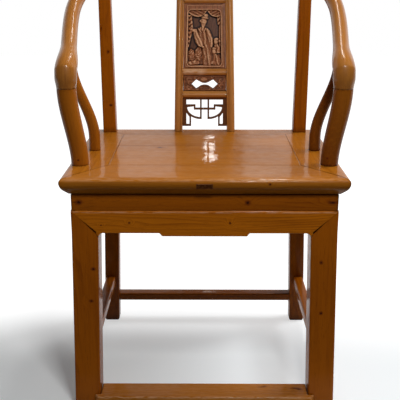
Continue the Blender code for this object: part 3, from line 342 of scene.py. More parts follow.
class Skin:
    """Shells of one piece, gathered into one mesh."""

    made: ClassVar[int] = 0
    log_step: ClassVar[Triple] = (1.37, 0.283, 0.371)

    def __init__(self, name: str) -> None:
        """Start an empty piece, sawn from its own place in the log."""
        self.name = name
        self.points: list[Array] = []
        self.grain: list[Array] = []
        self.tone: list[Array] = []
        self.faces: list[list[int]] = []
        self.count = 0
        Skin.made += 1
        self.log_offset = np.array(Skin.log_step) * Skin.made

    def add(self, shell: Shell, offset: Array) -> None:
        """Add a shell's points and faces.

        The faces are turned so that the signed volume, the sum of a . (b x c) / 6 over
        the triangles, is positive, which points them outwards.

        Args:
            shell: The shell.
            offset: How far its points are moved.
        """
        rows, cols, _ = shell.rings.shape
        index = np.arange(rows * cols).reshape(rows, cols)
        low = index if shell.loop else index[:-1]
        high = np.roll(index, -1, axis=0) if shell.loop else index[1:]
        quads = spread(low, np.roll(low, -1, axis=1), np.roll(high, -1, axis=1), high)
        faces = quads.reshape(-1, 4).tolist()
        points = shell.rings.reshape(-1, 3) + offset
        grain = shell.grain.reshape(-1, 3)
        tone = np.broadcast_to(shell.tone, (rows, cols)).reshape(-1)
        last = index[-1]
        if not shell.loop:
            faces.append(index[0][::-1].tolist())
        if shell.apex is not None:
            faces += spread(last, np.roll(last, -1), len(points)).tolist()
            points = np.concatenate([points, (shell.apex + offset)[None]])
            grain = np.concatenate([grain, grain[-1:]])
            tone = np.concatenate([tone, tone[-1:]])
        elif not shell.loop:
            faces.append(last.tolist())
        if self.volume(points - points.mean(axis=0), faces) < 0:
            faces = [face[::-1] for face in faces]
        self.faces += [[i + self.count for i in face] for face in faces]
        self.points.append(points)
        self.grain.append(grain + self.log_offset)
        self.tone.append(tone)
        self.count += len(points)

    @staticmethod
    def volume(points: Array, faces: list[list[int]]) -> float:
        """Signed volume of a closed skin, from fans of triangles over its faces."""
        fans = [(face[0], face[k], face[k + 1]) for face in faces for k in range(1, len(face) - 1)]
        a, b, c = (points[np.array(fans)[:, k]] for k in range(3))
        return float(np.sum(a * np.cross(b, c)) / 6)

    def piece(self, finish: "Finish", node: str, sharp: float) -> None:
        """Make the mesh object, give it its finish and set it in the frame.

        Args:
            finish: Finish of the piece.
            node: Node of the frame that it stands for.
            sharp: Angle in degrees past which an edge stays crisp.
        """
        mesh = bpy.data.meshes.new(self.name)
        mesh.from_pydata(np.concatenate(self.points), [], self.faces)
        layers = (("grain", "FLOAT_VECTOR", "vector", self.grain), ("tone", "FLOAT", "value", self.tone))
        for name, kind, key, rows in layers:
            layer = mesh.attributes.new(name, kind, "POINT")
            layer.data.foreach_set(key, np.concatenate(rows).astype(np.float32).ravel())
        mesh.shade_smooth()
        mesh.set_sharp_from_angle(angle=math.radians(sharp))
        mesh.materials.append(finish.material())
        made = placed(self.name, mesh)
        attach(made, "root")
        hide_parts(node)
        log.info("%s: %d points, for %s", self.name, self.count, node)


class Sheet:
    """Lays out the nodes of a material or a world, one short call a node."""

    def __init__(self, made: bpy.types.Material | bpy.types.World) -> None:
        """Start on the node tree of a new material or world."""
        made.use_nodes = True
        self.made = made
        self.tree = made.node_tree
        is_world = isinstance(made, bpy.types.World)
        self.shader = self.tree.nodes["Background" if is_world else "Principled BSDF"]

    def put(self, target: Socket, value: object) -> None:
        """Link a socket to a target, or set the target's own value."""
        if isinstance(value, Socket):
            self.tree.links.new(value, target)
        elif value is not None:
            target.default_value = value

    def feed(self, inputs: dict[str, object]) -> None:
        """Link or set inputs of the shader."""
        for name, value in inputs.items():
            self.put(self.shader.inputs[name], value)

    def node(self, kind: str, inputs: dict[int | str, object] | None = None,
             **settings: object) -> bpy.types.Node:
        """New node.

        Args:
            kind: Type of the node.
            inputs: Links or values of its inputs, by place or name.
            settings: Its settings.
        Returns:
            The node.
        """
        made = self.tree.nodes.new(kind)
        for key, value in settings.items():
            setattr(made, key, value)
        for key, value in (inputs or {}).items():
            self.put(made.inputs[key], value)
        return made

    def math(self, operation: str, a: object, b: object = None, clamp: bool = False) -> Socket:
        """Result of one sum on numbers."""
        return self.node("ShaderNodeMath", {0: a, 1: b}, operation=operation, use_clamp=clamp).outputs[0]

    def times(self, a: object, b: object) -> Socket:
        """Product of two numbers."""
        return self.math("MULTIPLY", a, b)

    def plus(self, first: object, *others: object) -> Socket:
        """Total of some numbers."""
        for other in others:
            first = self.math("ADD", first, other)
        return first

    def most(self, a: object, b: object) -> Socket:
        """Larger one of two numbers."""
        return self.math("MAXIMUM", a, b)

    def vector(self, operation: str, a: object, b: object = None) -> bpy.types.Node:
        """One sum on vectors."""
        return self.node("ShaderNodeVectorMath", {0: a, 1: b}, operation=operation)

    def noise(self, place: Socket, waves: Waves) -> Socket:
        """Soft noise whose waves have their own length along the first direction."""
        along, across, detail = waves.value
        drawn = self.vector("MULTIPLY", place, (along, across, across)).outputs[0]
        inputs = {"Vector": drawn, "Scale": 1.0, "Detail": detail}
        return self.node("ShaderNodeTexNoise", inputs).outputs["Fac"]

    def remap(self, value: object, low: float, high: float, to_low: float = 0.0, to_high: float = 1.0,
              soft: bool = True) -> Socket:
        """Value moved from one range to another, held at the ends."""
        inputs = {"Value": value, "From Min": low, "From Max": high, "To Min": to_low, "To Max": to_high}
        kind = "SMOOTHSTEP" if soft else "LINEAR"
        return self.node("ShaderNodeMapRange", inputs, interpolation_type=kind).outputs[0]

    def mix(self, share: object, a: object, b: object) -> Socket:
        """Mix of two colours."""
        a, b = (colour if isinstance(colour, Socket) else (*colour, 1.0) for colour in (a, b))
        return self.node("ShaderNodeMix", {0: share, 6: a, 7: b}, data_type="RGBA").outputs[2]

    def bump(self, height: Socket, strength: float) -> Socket:
        """Normal that follows a height in metres."""
        inputs = {"Strength": strength, "Distance": 1.0, "Height": height}
        return self.node("ShaderNodeBump", inputs).outputs[0]

    def split(self, vector: Socket) -> bpy.types.bpy_prop_collection:
        """Three parts of a vector."""
        return self.node("ShaderNodeSeparateXYZ", {0: vector}).outputs

    def attribute(self, name: str, output: str) -> Socket:
        """Attribute of the piece's own points."""
        return self.node("ShaderNodeAttribute", attribute_name=name).outputs[output]

    def place(self) -> Socket:
        """Object coordinates, which are the chair's own."""
        return self.node("ShaderNodeTexCoord").outputs["Object"]

    def rays(self) -> tuple[Socket, Socket]:
        """Light path: whether a ray comes from the camera, and whether it is mirrored or let through."""
        path = self.node("ShaderNodeLightPath").outputs
        return path["Is Camera Ray"], self.most(path["Is Glossy Ray"], path["Is Transmission Ray"])


@dataclass(frozen=True)
class Knot:
    """Dark knot in the timber: its place on the chair and its half size in each direction."""

    at: Triple
    half: Triple

    @classmethod
    def upright(cls, y: float, *rows: tuple[float, ...]) -> tuple["Knot", ...]:
        """Knots on an upright face: each row has x, z, half width and half height."""
        return tuple(cls((x, y, z), (wide, KNOT_DEPTH, tall)) for x, z, wide, tall in rows)

    @classmethod
    def level(cls, nose: float, z: float, depth: float, *rows: tuple[float, ...]) -> tuple["Knot", ...]:
        """Knots on a level face: each row has x, the way back from the nose, half width and half length."""
        return tuple(cls((x, nose + y, z), (wide, long, depth)) for x, y, wide, long in rows)


@dataclass(frozen=True)
class Finish:
    """Surface finish that makes its material once and hands it out again."""

    kept: ClassVar[dict[Look, bpy.types.Material]] = {}
    look: Look
    slot: Slot

    def material(self) -> bpy.types.Material:
        """The finish's material."""
        if self.look not in Finish.kept:
            sheet = Sheet(bpy.data.materials.new(self.look.value))
            self.lay(sheet)
            Finish.kept[self.look] = sheet.made
        return Finish.kept[self.look]

    def lay(self, sheet: Sheet) -> None:
        """Lay the material's nodes."""
        raise NotImplementedError


@dataclass(frozen=True)
class Timber(Finish):
    """Figured timber under a gloss lacquer."""

    pale: Colour
    deep: Colour
    line: Colour
    figure: float = 0.55
    ring: float = 0.0075
    coat: float = 0.45
    coat_roughness: float = 0.07
    roughness: float = 0.42
    coat_ior: float = 1.3
    specular: float = 0.05
    wave: float = 0.00015
    on_frame: bool = False
    knots: tuple[Knot, ...] = ()

    def lay(self, sheet: Sheet) -> None:
        """Lay the nodes: rings, fibres and pores along the grain, knots, grime, painted shade and
        highlights, and lacquer.

        Args:
            sheet: Sheet of the material.
        """
        grain = sheet.place() if self.on_frame else sheet.attribute("grain", "Vector")
        dark, halo, swirl = self.knot_masks(sheet)
        late = self.late_wood(sheet, grain, swirl)
        fibre = sheet.noise(grain, Waves.FIBRE)
        share = sheet.plus(sheet.times(late, self.figure), sheet.remap(fibre, 0.3, 0.75, -0.18, 0.3, False))
        cloud = sheet.remap(sheet.noise(grain, Waves.CLOUD), 0.3, 0.7, -0.22, 0.34, False)
        colour = sheet.mix(sheet.math("ADD", share, cloud, clamp=True), self.pale, self.deep)
        pore = sheet.remap(sheet.noise(grain, Waves.PORE), 0.64, 0.74, 0.0, 0.5)
        colour = sheet.mix(pore, colour, self.line)
        colour = self.handled(sheet, grain, colour)
        colour = sheet.mix(sheet.times(halo, 0.75), colour, KNOT_HALO)
        colour = sheet.mix(dark, colour, KNOT_CORE)
        dull = sheet.noise(sheet.place(), Waves.DULL)
        rough = sheet.remap(dull, 0.3, 0.7, self.roughness - 0.06, self.roughness + 0.08, False)
        sheet.feed({"Base Color": colour, "Roughness": rough})
        self.lacquer(sheet, fibre, late)

    def late_wood(self, sheet: Sheet, grain: Socket, swirl: object) -> Socket:
        """Mask of the dark late wood: a saw wave over the drifting rings, of uneven strength.

        Args:
            sheet: Sheet of the material.
            grain: Grain coordinates.
            swirl: Mask of the rings that bend round knots.
        Returns:
            The mask.
        """
        drift = sheet.times(sheet.noise(grain, Waves.DRIFT), 0.055)
        _, across, through = sheet.split(grain)
        level = sheet.plus(sheet.times(across, 0.45), through, drift, sheet.times(swirl, 0.012))
        saw = sheet.math("FRACT", sheet.math("DIVIDE", level, self.ring))
        late = sheet.math("SUBTRACT", sheet.math("POWER", saw, 2.6), sheet.remap(saw, 0.9, 1.0))
        strength = sheet.remap(sheet.noise(grain, Waves.STRENGTH), 0.35, 0.68, 0.15, 1.0)
        return sheet.times(sheet.most(late, 0.0), strength)

    def handled(self, sheet: Sheet, grain: Socket, colour: Socket) -> Socket:
        """Colour with specks of grime and painted shade where the tone is above zero, and pale scuffs and
        painted highlights where it is below.

        Args:
            sheet: Sheet of the material.
            grain: Grain coordinates.
            colour: Colour of the clean timber.
        Returns:
            The handled colour.
        """
        tone = sheet.attribute("tone", "Fac")
        speck = sheet.remap(sheet.noise(sheet.place(), Waves.SPECK), 0.2, 0.6, 0.6, 1.0)
        # Positive tone darkens: grime, plus painted shade where a piece sets it.
        grime = sheet.times(sheet.most(tone, 0.0), speck)
        colour = sheet.mix(sheet.math("MINIMUM", grime, 0.95), colour, self.line)
        scuff_and_highlight = sheet.remap(sheet.noise(grain, Waves.SCUFF_AND_HIGHLIGHT), 0.34, 0.6)
        # Negative tone pales: wear, plus painted highlights along edges.
        rubbed = sheet.times(sheet.most(sheet.times(tone, -1.0), 0.0), scuff_and_highlight)
        return sheet.mix(rubbed, colour, PALE_WEAR_AND_HIGHLIGHT)

    def knot_masks(self, sheet: Sheet) -> tuple[object, object, object]:
        """Masks of the knots.

        Args:
            sheet: Sheet of the material.
        Returns:
            Masks of the dark cores, of the red wood round them and of the rings that bend there.
        """
        dark = halo = swirl = 0.0
        place = sheet.place()
        ragged = sheet.times(sheet.noise(place, Waves.KNOT), 0.7)
        for knot in self.knots:
            away = sheet.vector("SUBTRACT", place, knot.at).outputs[0]
            share = sheet.vector("DIVIDE", away, knot.half).outputs[0]
            length = sheet.vector("LENGTH", share).outputs["Value"]
            uneven = sheet.plus(length, ragged)
            dark = sheet.most(sheet.remap(uneven, 0.95, 0.45), dark)
            halo = sheet.most(sheet.remap(uneven, 1.7, 0.8), halo)
            swirl = sheet.most(sheet.remap(length, 4.5, 0.4), swirl)
        return dark, halo, swirl

    def lacquer(self, sheet: Sheet, fibre: Socket, late: Socket) -> None:
        """Gloss coat, and the slight waves and sunk grain that show in its reflections.

        Args:
            sheet: Sheet of the material.
            fibre: Noise of the fibres.
            late: Mask of the late wood.
        """
        wave = sheet.times(sheet.noise(sheet.place(), Waves.LACQUER), self.wave * 14)
        peel = sheet.times(sheet.noise(sheet.place(), Waves.PEEL), self.wave * 0.35)
        sunk = sheet.plus(sheet.times(fibre, -self.wave * 0.3), sheet.times(late, -self.wave * 0.3))
        normal = sheet.bump(sheet.plus(sheet.plus(wave, peel), sunk), 0.6)
        sheet.feed({"Normal": normal, "Coat Normal": normal, "Coat Weight": self.coat,
                    "Coat Roughness": self.coat_roughness, "Coat IOR": self.coat_ior,
                    "Specular IOR Level": self.specular})


@dataclass(frozen=True)
class CarvedTimber(Finish):
    """Red-brown carved timber: dark in the hollows from patina and painted shade, pale on the ridges from
    dust and painted highlight.
    """

    ridge: Colour
    body: Colour
    hollow: Colour
    coat: float = 0.06
    coat_roughness: float = 0.25
    specular: float = 0.08

    def lay(self, sheet: Sheet) -> None:
        """Lay the nodes: the tone runs from the hollows (1) over the body (0) to the ridges (-1).

        Args:
            sheet: Sheet of the material.
        """
        tone = sheet.attribute("tone", "Fac")
        fibre = sheet.noise(sheet.attribute("grain", "Vector"), Waves.CARVED_FIBRE)
        dust = sheet.noise(sheet.place(), Waves.DUST)
        colour = sheet.mix(sheet.remap(fibre, 0.3, 0.7, 0.0, 0.45), self.body, self.hollow)
        ridge = sheet.times(sheet.remap(tone, 0.0, -1.0), sheet.remap(dust, 0.3, 0.6, 0.5, 1.0))
        colour = sheet.mix(ridge, colour, self.ridge)
        colour = sheet.mix(sheet.remap(tone, 0.05, 0.95, soft=False), colour, self.hollow)
        sheet.feed({"Base Color": colour, "Roughness": sheet.remap(dust, 0.3, 0.7, 0.38, 0.58, False),
                    "Normal": sheet.bump(sheet.times(dust, 0.0004), 0.5), "Coat Weight": self.coat,
                    "Coat Roughness": self.coat_roughness, "Specular IOR Level": self.specular})


@dataclass(frozen=True)
class AgedPlate(Finish):
    """Thin bare plate, darkened with age and rubbed at its rim."""

    dark: Colour
    rubbed: Colour
    metallic: float = 0.15
    specular: float = 0.08

    def lay(self, sheet: Sheet) -> None:
        """Lay the nodes: blotches of tarnish, and a brighter rim where the tone is negative.

        Args:
            sheet: Sheet of the material.
        """
        blotch = sheet.noise(sheet.place(), Waves.TARNISH)
        rim = sheet.remap(sheet.attribute("tone", "Fac"), 0.0, -1.0, 0.0, 0.6)
        shade = sheet.math("ADD", sheet.remap(blotch, 0.45, 0.7, 0.0, 0.5), rim, clamp=True)
        sheet.feed({"Base Color": sheet.mix(shade, self.dark, self.rubbed),
                    "Roughness": sheet.remap(blotch, 0.3, 0.7, 0.3, 0.55, False),
                    "Normal": sheet.bump(sheet.times(blotch, 0.0003), 1.0),
                    "Metallic": self.metallic, "Specular IOR Level": self.specular})


@dataclass
class Sizes:
    """Sizes that the sub-assemblies share: those that are set, then those that follow from the frame."""

    gap: float = 0.0003
    frame_thickness: float = 0.036
    overhang: float = 0.017
    back_overhang: float = 0.012
    waist_height: float = 0.0335
    waist_setback: float = 0.002
    apron_height: float = 0.0465
    apron_thickness: float = 0.01
    front_leg: float = 0.053
    back_leg: float = 0.037
    splay: float = 0.0285
    elbow_y: float = 0.114

    def __post_init__(self) -> None:
        """Take the seat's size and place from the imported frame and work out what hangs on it."""
        low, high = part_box("seat_frame_front")
        self.back = low.y
        self.top = high.z
        self.half = high.x + self.gap
        self.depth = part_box("seat_frame_back")[1].y - self.back
        self.frame_bottom = self.top - self.frame_thickness
        self.apron_top = self.frame_bottom - self.waist_height
        self.apron_bottom = self.apron_top - self.apron_height
        self.ring_half = self.half - self.overhang
        self.ring_back = self.depth - self.back_overhang
        self.leg_inner = self.ring_half - self.front_leg
        self.leg_back = self.overhang + self.front_leg
        self.mitre = self.apron_height / self.front_leg
        self.back_leg_x = self.ring_half - self.apron_thickness - self.gap - self.back_leg / 2
        self.back_leg_y = self.ring_back - self.back_leg / 2
        self.back_reach = self.back_leg_x - self.back_leg / 2 - self.gap

    @property
    def offset(self) -> Array:
        """From places counted from the seat's nose to the chair's own."""
        return np.array([0.0, self.back, 0.0])

    def lean(self, z: Real) -> Array:
        """Sideways lean of the legs at a height: a straight splay below the aprons."""
        return self.splay * np.maximum(self.apron_bottom - z, 0.0)


@dataclass
class SubAssembly:
    """Part of the chair with its sizes and the finishes it is dressed in."""

    sizes: Sizes
    finishes: dict[Look, Finish]

    def dress(self, look: Look, name: str, node: str, *shells: Shell, sharp: float = 38.0) -> None:
        """Make one piece from shells that are counted from the seat's nose, and dress it.

        Args:
            look: Finish of the piece.
            name: Name of the piece.
            node: Node of the frame that it stands for.
            shells: Its shells.
            sharp: Angle in degrees past which an edge stays crisp.
        """
        skin = Skin(name)
        for shell in shells:
            skin.add(shell, self.sizes.offset)
        skin.piece(self.finishes[look], node, sharp)


@dataclass
class SeatFrame(SubAssembly):
    """Four mitred members with a rounded nose."""

    front_width: float = 0.108
    side_width: float = 0.083
    back_width: float = 0.07
    opened_mitre: float = 0.0018
    round_over: float = 0.04
    nose: Pair = (0.017, 0.0085)
    band_top: float = 0.013
    band_foot: Pair = (0.0046, 0.0225)
    tuck: float = 0.004
    highlight_middle: float = 0.11
    highlight_half: float = 0.06

    def section(self, width: float) -> Array:
        """Member's section as (inset from the nose, height): flat top, full nose, sloping underside.

        Args:
            width: Width of the member.
        Returns:
            Outline of the section.
        """
        top = self.sizes.top
        low = self.sizes.frame_bottom
        inset, drop = self.band_foot
        return profile((
            ((width, top), 0.0004),
            ((width - 0.004, top), (0.002, 0.004)),
            ((self.round_over, top), 0.01),
            ((0.0, top), self.nose),
            ((0.0, top - self.band_top), (0.004, 0.0045)),
            ((inset, top - drop), (0.0055, 0.008)),
            ((self.sizes.overhang + self.tuck, low), (0.004, 0.002)),
            ((width, low), 0.001),
        ), 9)

    def build(self) -> None:
        """Members between their mitres; the right front mitre has opened a little."""
        size = self.sizes
        long = 2 * size.half
        stations = near_ends(long, 17)
        members = (("front", self.front_width, 0.0, 1), ("back", self.back_width, size.depth, -1))
        for word, width, nose, inwards in members:
            section = self.section(width)
            inset = section[:, 0]
            end = size.half - size.gap - inset * self.side_width / width
            across = spread(nose + inwards * inset, section[:, 1])
            rings, grain = bar(across, -end, end, stations, Axis.ACROSS)
            tone = joint_grime(stations, long) + self.seam(inset, width)
            # The front member's arris gets a painted highlight.
            if word == "front":
                tone = tone - self.painted_arris_highlight(rings)
            self.dress(Look.SEAT, f"{word}_frame_member", f"seat_frame_{word}", Shell(rings, grain, tone))
        stations = near_ends(size.depth, 5)
        section = self.section(self.side_width)
        inset = section[:, 0]
        end = size.depth - size.gap - inset * self.back_width / self.side_width
        tone = joint_grime(stations, size.depth) + self.seam(inset, self.side_width)
        for side in Side:
            opened = self.opened_mitre if side is Side.RIGHT else size.gap
            start = opened + inset * self.front_width / self.side_width
            across = side.flip(spread(size.half - inset, section[:, 1]))
            shell = Shell(*bar(across, start, end, stations, Axis.BACK), tone)
            self.dress(Look.SEAT, f"{side.word}_frame_member", f"seat_frame_{side.word}", shell)

    @staticmethod
    def seam(inset: Array, width: float) -> Array:
        """Grime along the inner edge, where the panel's boards meet the member."""
        return fade(width - inset, 0.0012, 0.3)[None]

    def painted_arris_highlight(self, rings: Array) -> Array:
        """Painted highlight: a pale band along the front arris, strongest right of the middle."""
        share = 0.25 + 0.55 * hump(rings[..., 0] - self.highlight_middle, self.highlight_half)
        return share * hump(self.sizes.top - rings[..., 2] - 0.003, 0.0025)


@dataclass
class SeatPanel(SubAssembly):
    """Two boards that lie flush inside the frame, with rims grimed where they meet their neighbours."""

    x_reach: float = 0.197
    front: float = 0.108
    seam: float = 0.2823
    rear: float = 0.41
    rim: Rim = ((-0.019, 0.0, 0.6), (-0.0005, 0.0, 0.6), (-0.0002, 0.00015, 0.5), (0.0, 0.0005, 0.3),
                (0.0, 0.0022, 0.05), (0.0, 0.006, 0.0))

    def build(self) -> None:
        """Boards with eased rims."""
        gap = self.sizes.gap
        spans = {"front": (self.front + gap, self.seam), "back": (self.seam + gap, self.rear - gap)}
        for word, (near, far) in spans.items():
            plan = box_corners((-self.x_reach + gap, near), (self.x_reach - gap, far))
            rings, tone = slab(plan, [0.0005] * 4, self.rim, self.sizes.top, 4)
            self.dress(Look.SEAT, f"{word}_panel_board", f"seat_board_{word}", Shell(rings, rings, tone))


@dataclass
class EdgePlate(SubAssembly):
    """Small bare plate with a rolled rim, let into the nose of the front member."""

    length: float = 0.0325
    height: float = 0.0125
    lean: Pair = (0.0045, -0.011)
    rim: Rim = ((-0.0012, 0.0, 0.0), (0.0004, 0.0, -0.3), (0.0009, 0.0003, -1.0), (0.001, 0.0008, -1.0),
                (0.0007, 0.0013, -0.2), (0.0007, 0.003, 0.0))

    def build(self) -> None:
        """Plate that leans with the band it lies on."""
        low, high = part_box("edge_plate")
        middle = np.array((low + high) / 2) - self.sizes.offset
        back, up = self.lean
        axes = unit(np.array([[1.0, 0.0, 0.0], [0.0, back, up], [0.0, up, -back]]))
        corner = (self.length / 2, self.height / 2)
        flat, tone = slab(box_corners((-corner[0], -corner[1]), corner), [0.0012] * 4, self.rim, 0.0)
        self.dress(Look.PLATE, "nose_plate", "edge_plate", Shell(middle + flat @ axes, flat, tone))


@dataclass
class Waist(SubAssembly):
    """Recessed band between the seat frame and the aprons."""

    thickness: float = 0.008
    ease: float = 0.0006

    def build(self) -> None:
        """Front board mitred to the side boards; the back board lies between the back legs."""
        size = self.sizes
        outer = size.ring_half - size.waist_setback
        near = size.overhang + size.waist_setback
        rear = size.ring_back - size.waist_setback - self.thickness
        stations = near_ends(2 * outer)
        section = self.section(near)
        reach = outer - size.gap - (section[:, 0] - near)
        rings = bar(section, -reach, reach, stations, Axis.ACROSS)
        self.board("front", *rings, joint_grime(stations, 2 * outer))
        section = self.section(outer - self.thickness)
        start = near + size.gap + (outer - section[:, 0])
        for side in Side:
            self.board(side.word, *bar(side.flip(section), start, size.ring_back, stations, Axis.BACK))
        reach = size.back_reach
        self.board("back", *bar(self.section(rear), -reach, reach, stations, Axis.ACROSS))

    def section(self, near: float) -> Array:
        """Section of a board whose near face is at a place."""
        size = self.sizes
        high = (near + self.thickness, size.frame_bottom - size.gap)
        return rounded_box((near, size.apron_top + size.gap), high, self.ease, 4)

    def board(self, word: str, rings: Array, grain: Array, ends: Real = 0.0) -> None:
        """One board, with grime in the long joints above and below it.

        Args:
            word: Side of the chair that it is on.
            rings: Its rings.
            grain: Their grain.
            ends: Grime at its ends.
        """
        size = self.sizes
        z = rings[..., 2]
        joint = np.minimum(z - size.apron_top, size.frame_bottom - z) - size.gap
        shell = Shell(rings, grain, fade(joint, 0.001, 0.3) + ends)
        self.dress(Look.LEG, f"{word}_waist_board", f"waist_{word}", shell)


@dataclass
class Aprons(SubAssembly):
    """Aprons with a rounded upper edge, mitred to the front legs' shoulders."""

    fillet: float = 0.009
    drop: float = 0.0065
    drop_half: float = 0.083
    drop_ease: float = 0.007
    bead: Pair = (0.0085, 0.0024)
    blend: float = 0.022
    painted_bead_highlight: float = 0.5

    def section(self) -> Array:
        """Section as (depth behind the face, share of the height).

        Returns:
            Outline of the section.
        """
        tall = self.sizes.apron_height
        thick = self.sizes.apron_thickness
        outline = profile((((thick, 0.0), 0.001), ((0.0, 0.0), (0.002, 0.0025)), ((0.0, tall), self.bead),
                           ((thick, tall), 0.0006)), 10)
        return outline / np.array([1.0, tall])

    def corner(self, along: Array) -> Array:
        """Lower edge beside a leg: a quarter round of the fillet's radius that ends on the leg."""
        into = np.clip(along - (self.sizes.leg_inner - self.fillet), 0.0, self.fillet)
        return -(self.fillet - np.sqrt(np.maximum(self.fillet ** 2 - into ** 2, 0.0)))

    def mitre_end(self, z: Array) -> Array:
        """Where the mitre lies at a height: leg_inner + (z - the apron's foot) / slope."""
        size = self.sizes
        return size.leg_inner + np.maximum(z - size.apron_bottom, 0.0) / size.mitre

    def mitred(self, along: Array, z: Array) -> Array:
        """Distance from the middle, with its last stretch, the blend, scaled to reach the mitre."""
        start = self.sizes.leg_inner - self.blend
        share = np.clip((along - start) / self.blend, 0.0, 1.0)
        return np.where(along > start, between(start, self.mitre_end(z) - self.sizes.gap, share), along)

    def rounding(self) -> Array:
        """Stations over the fillet, close together where it meets the leg."""
        turn = np.sin(np.linspace(0, QUARTER_TURN, 12))
        return self.sizes.leg_inner - self.fillet + self.fillet * turn

    def top_grime(self, z: Array) -> Array:
        """Grime in the joint with the waist."""
        return fade(self.sizes.apron_top - z, 0.0006, 0.5)

    def front_shell(self) -> Shell:
        """Front apron: the section's heights follow a lower edge with a dropped middle.

        Returns:
            The apron's shell.
        """
        size = self.sizes
        flat = np.linspace(0, self.drop_half - 0.002, 4)
        eased = self.drop_half + np.linspace(0, self.drop_ease, 9)
        half = np.concatenate([flat, eased, [size.leg_inner - self.blend], self.rounding()])
        along = np.concatenate([-half[:0:-1], half])[:, None]
        section = self.section()
        dropped = 1 - smooth_step((np.abs(along) - self.drop_half) / self.drop_ease)
        foot = size.apron_bottom - self.drop * dropped + self.corner(np.abs(along))
        z = between(foot, size.apron_top, section[:, 1])
        x = np.sign(along) * self.mitred(np.abs(along), z)
        tone = fade(self.mitre_end(z) - np.abs(x), 0.0012, 0.15) + self.top_grime(z)
        # Painted highlight: a pale band along the bead just under the apron's top edge.
        tone = tone - self.painted_bead_highlight * hump(size.apron_top - z - 0.0028, 0.0016)
        rings = spread(x, size.overhang + section[:, 0], z)
        return Shell(rings, rings, tone)

    def side_shell(self, side: Side) -> Shell:
        """Side apron: mitred to the front leg and square behind the back leg.

        Args:
            side: Side of the chair.
        Returns:
            The apron's shell.
        """
        size = self.sizes
        inner = size.leg_inner
        behind = np.linspace(inner - 0.1, inner - (size.ring_back - size.leg_back), 4)
        run = np.concatenate([self.rounding()[::-1], [inner - self.blend], behind])[:, None]
        section = self.section()
        z = between(size.apron_bottom + self.corner(run), size.apron_top, section[:, 1])
        y = size.leg_back + inner - self.mitred(run, z)
        x = side.value * (size.ring_half - section[:, 0])
        return Shell(spread(x, y, z), spread(y, x, z), self.top_grime(z))

    def back_shell(self) -> Shell:
        """Back apron: a plain board between the back legs.

        Returns:
            The apron's shell.
        """
        size = self.sizes
        low = (size.ring_back - size.apron_thickness, size.apron_bottom)
        section = rounded_box(low, (size.ring_back, size.apron_top), 0.002)
        reach = size.back_reach
        stations = near_ends(2 * reach)
        rings = bar(section, -reach, reach, stations, Axis.ACROSS)
        return Shell(*rings, joint_grime(stations, 2 * reach))

    def build(self) -> None:
        """Front, side and back aprons."""
        shells = {"front": self.front_shell()}
        shells |= {side.word: self.side_shell(side) for side in Side}
        shells["back"] = self.back_shell()
        for word, shell in shells.items():
            self.dress(Look.APRON, f"{word}_apron_board", f"apron_{word}", shell)


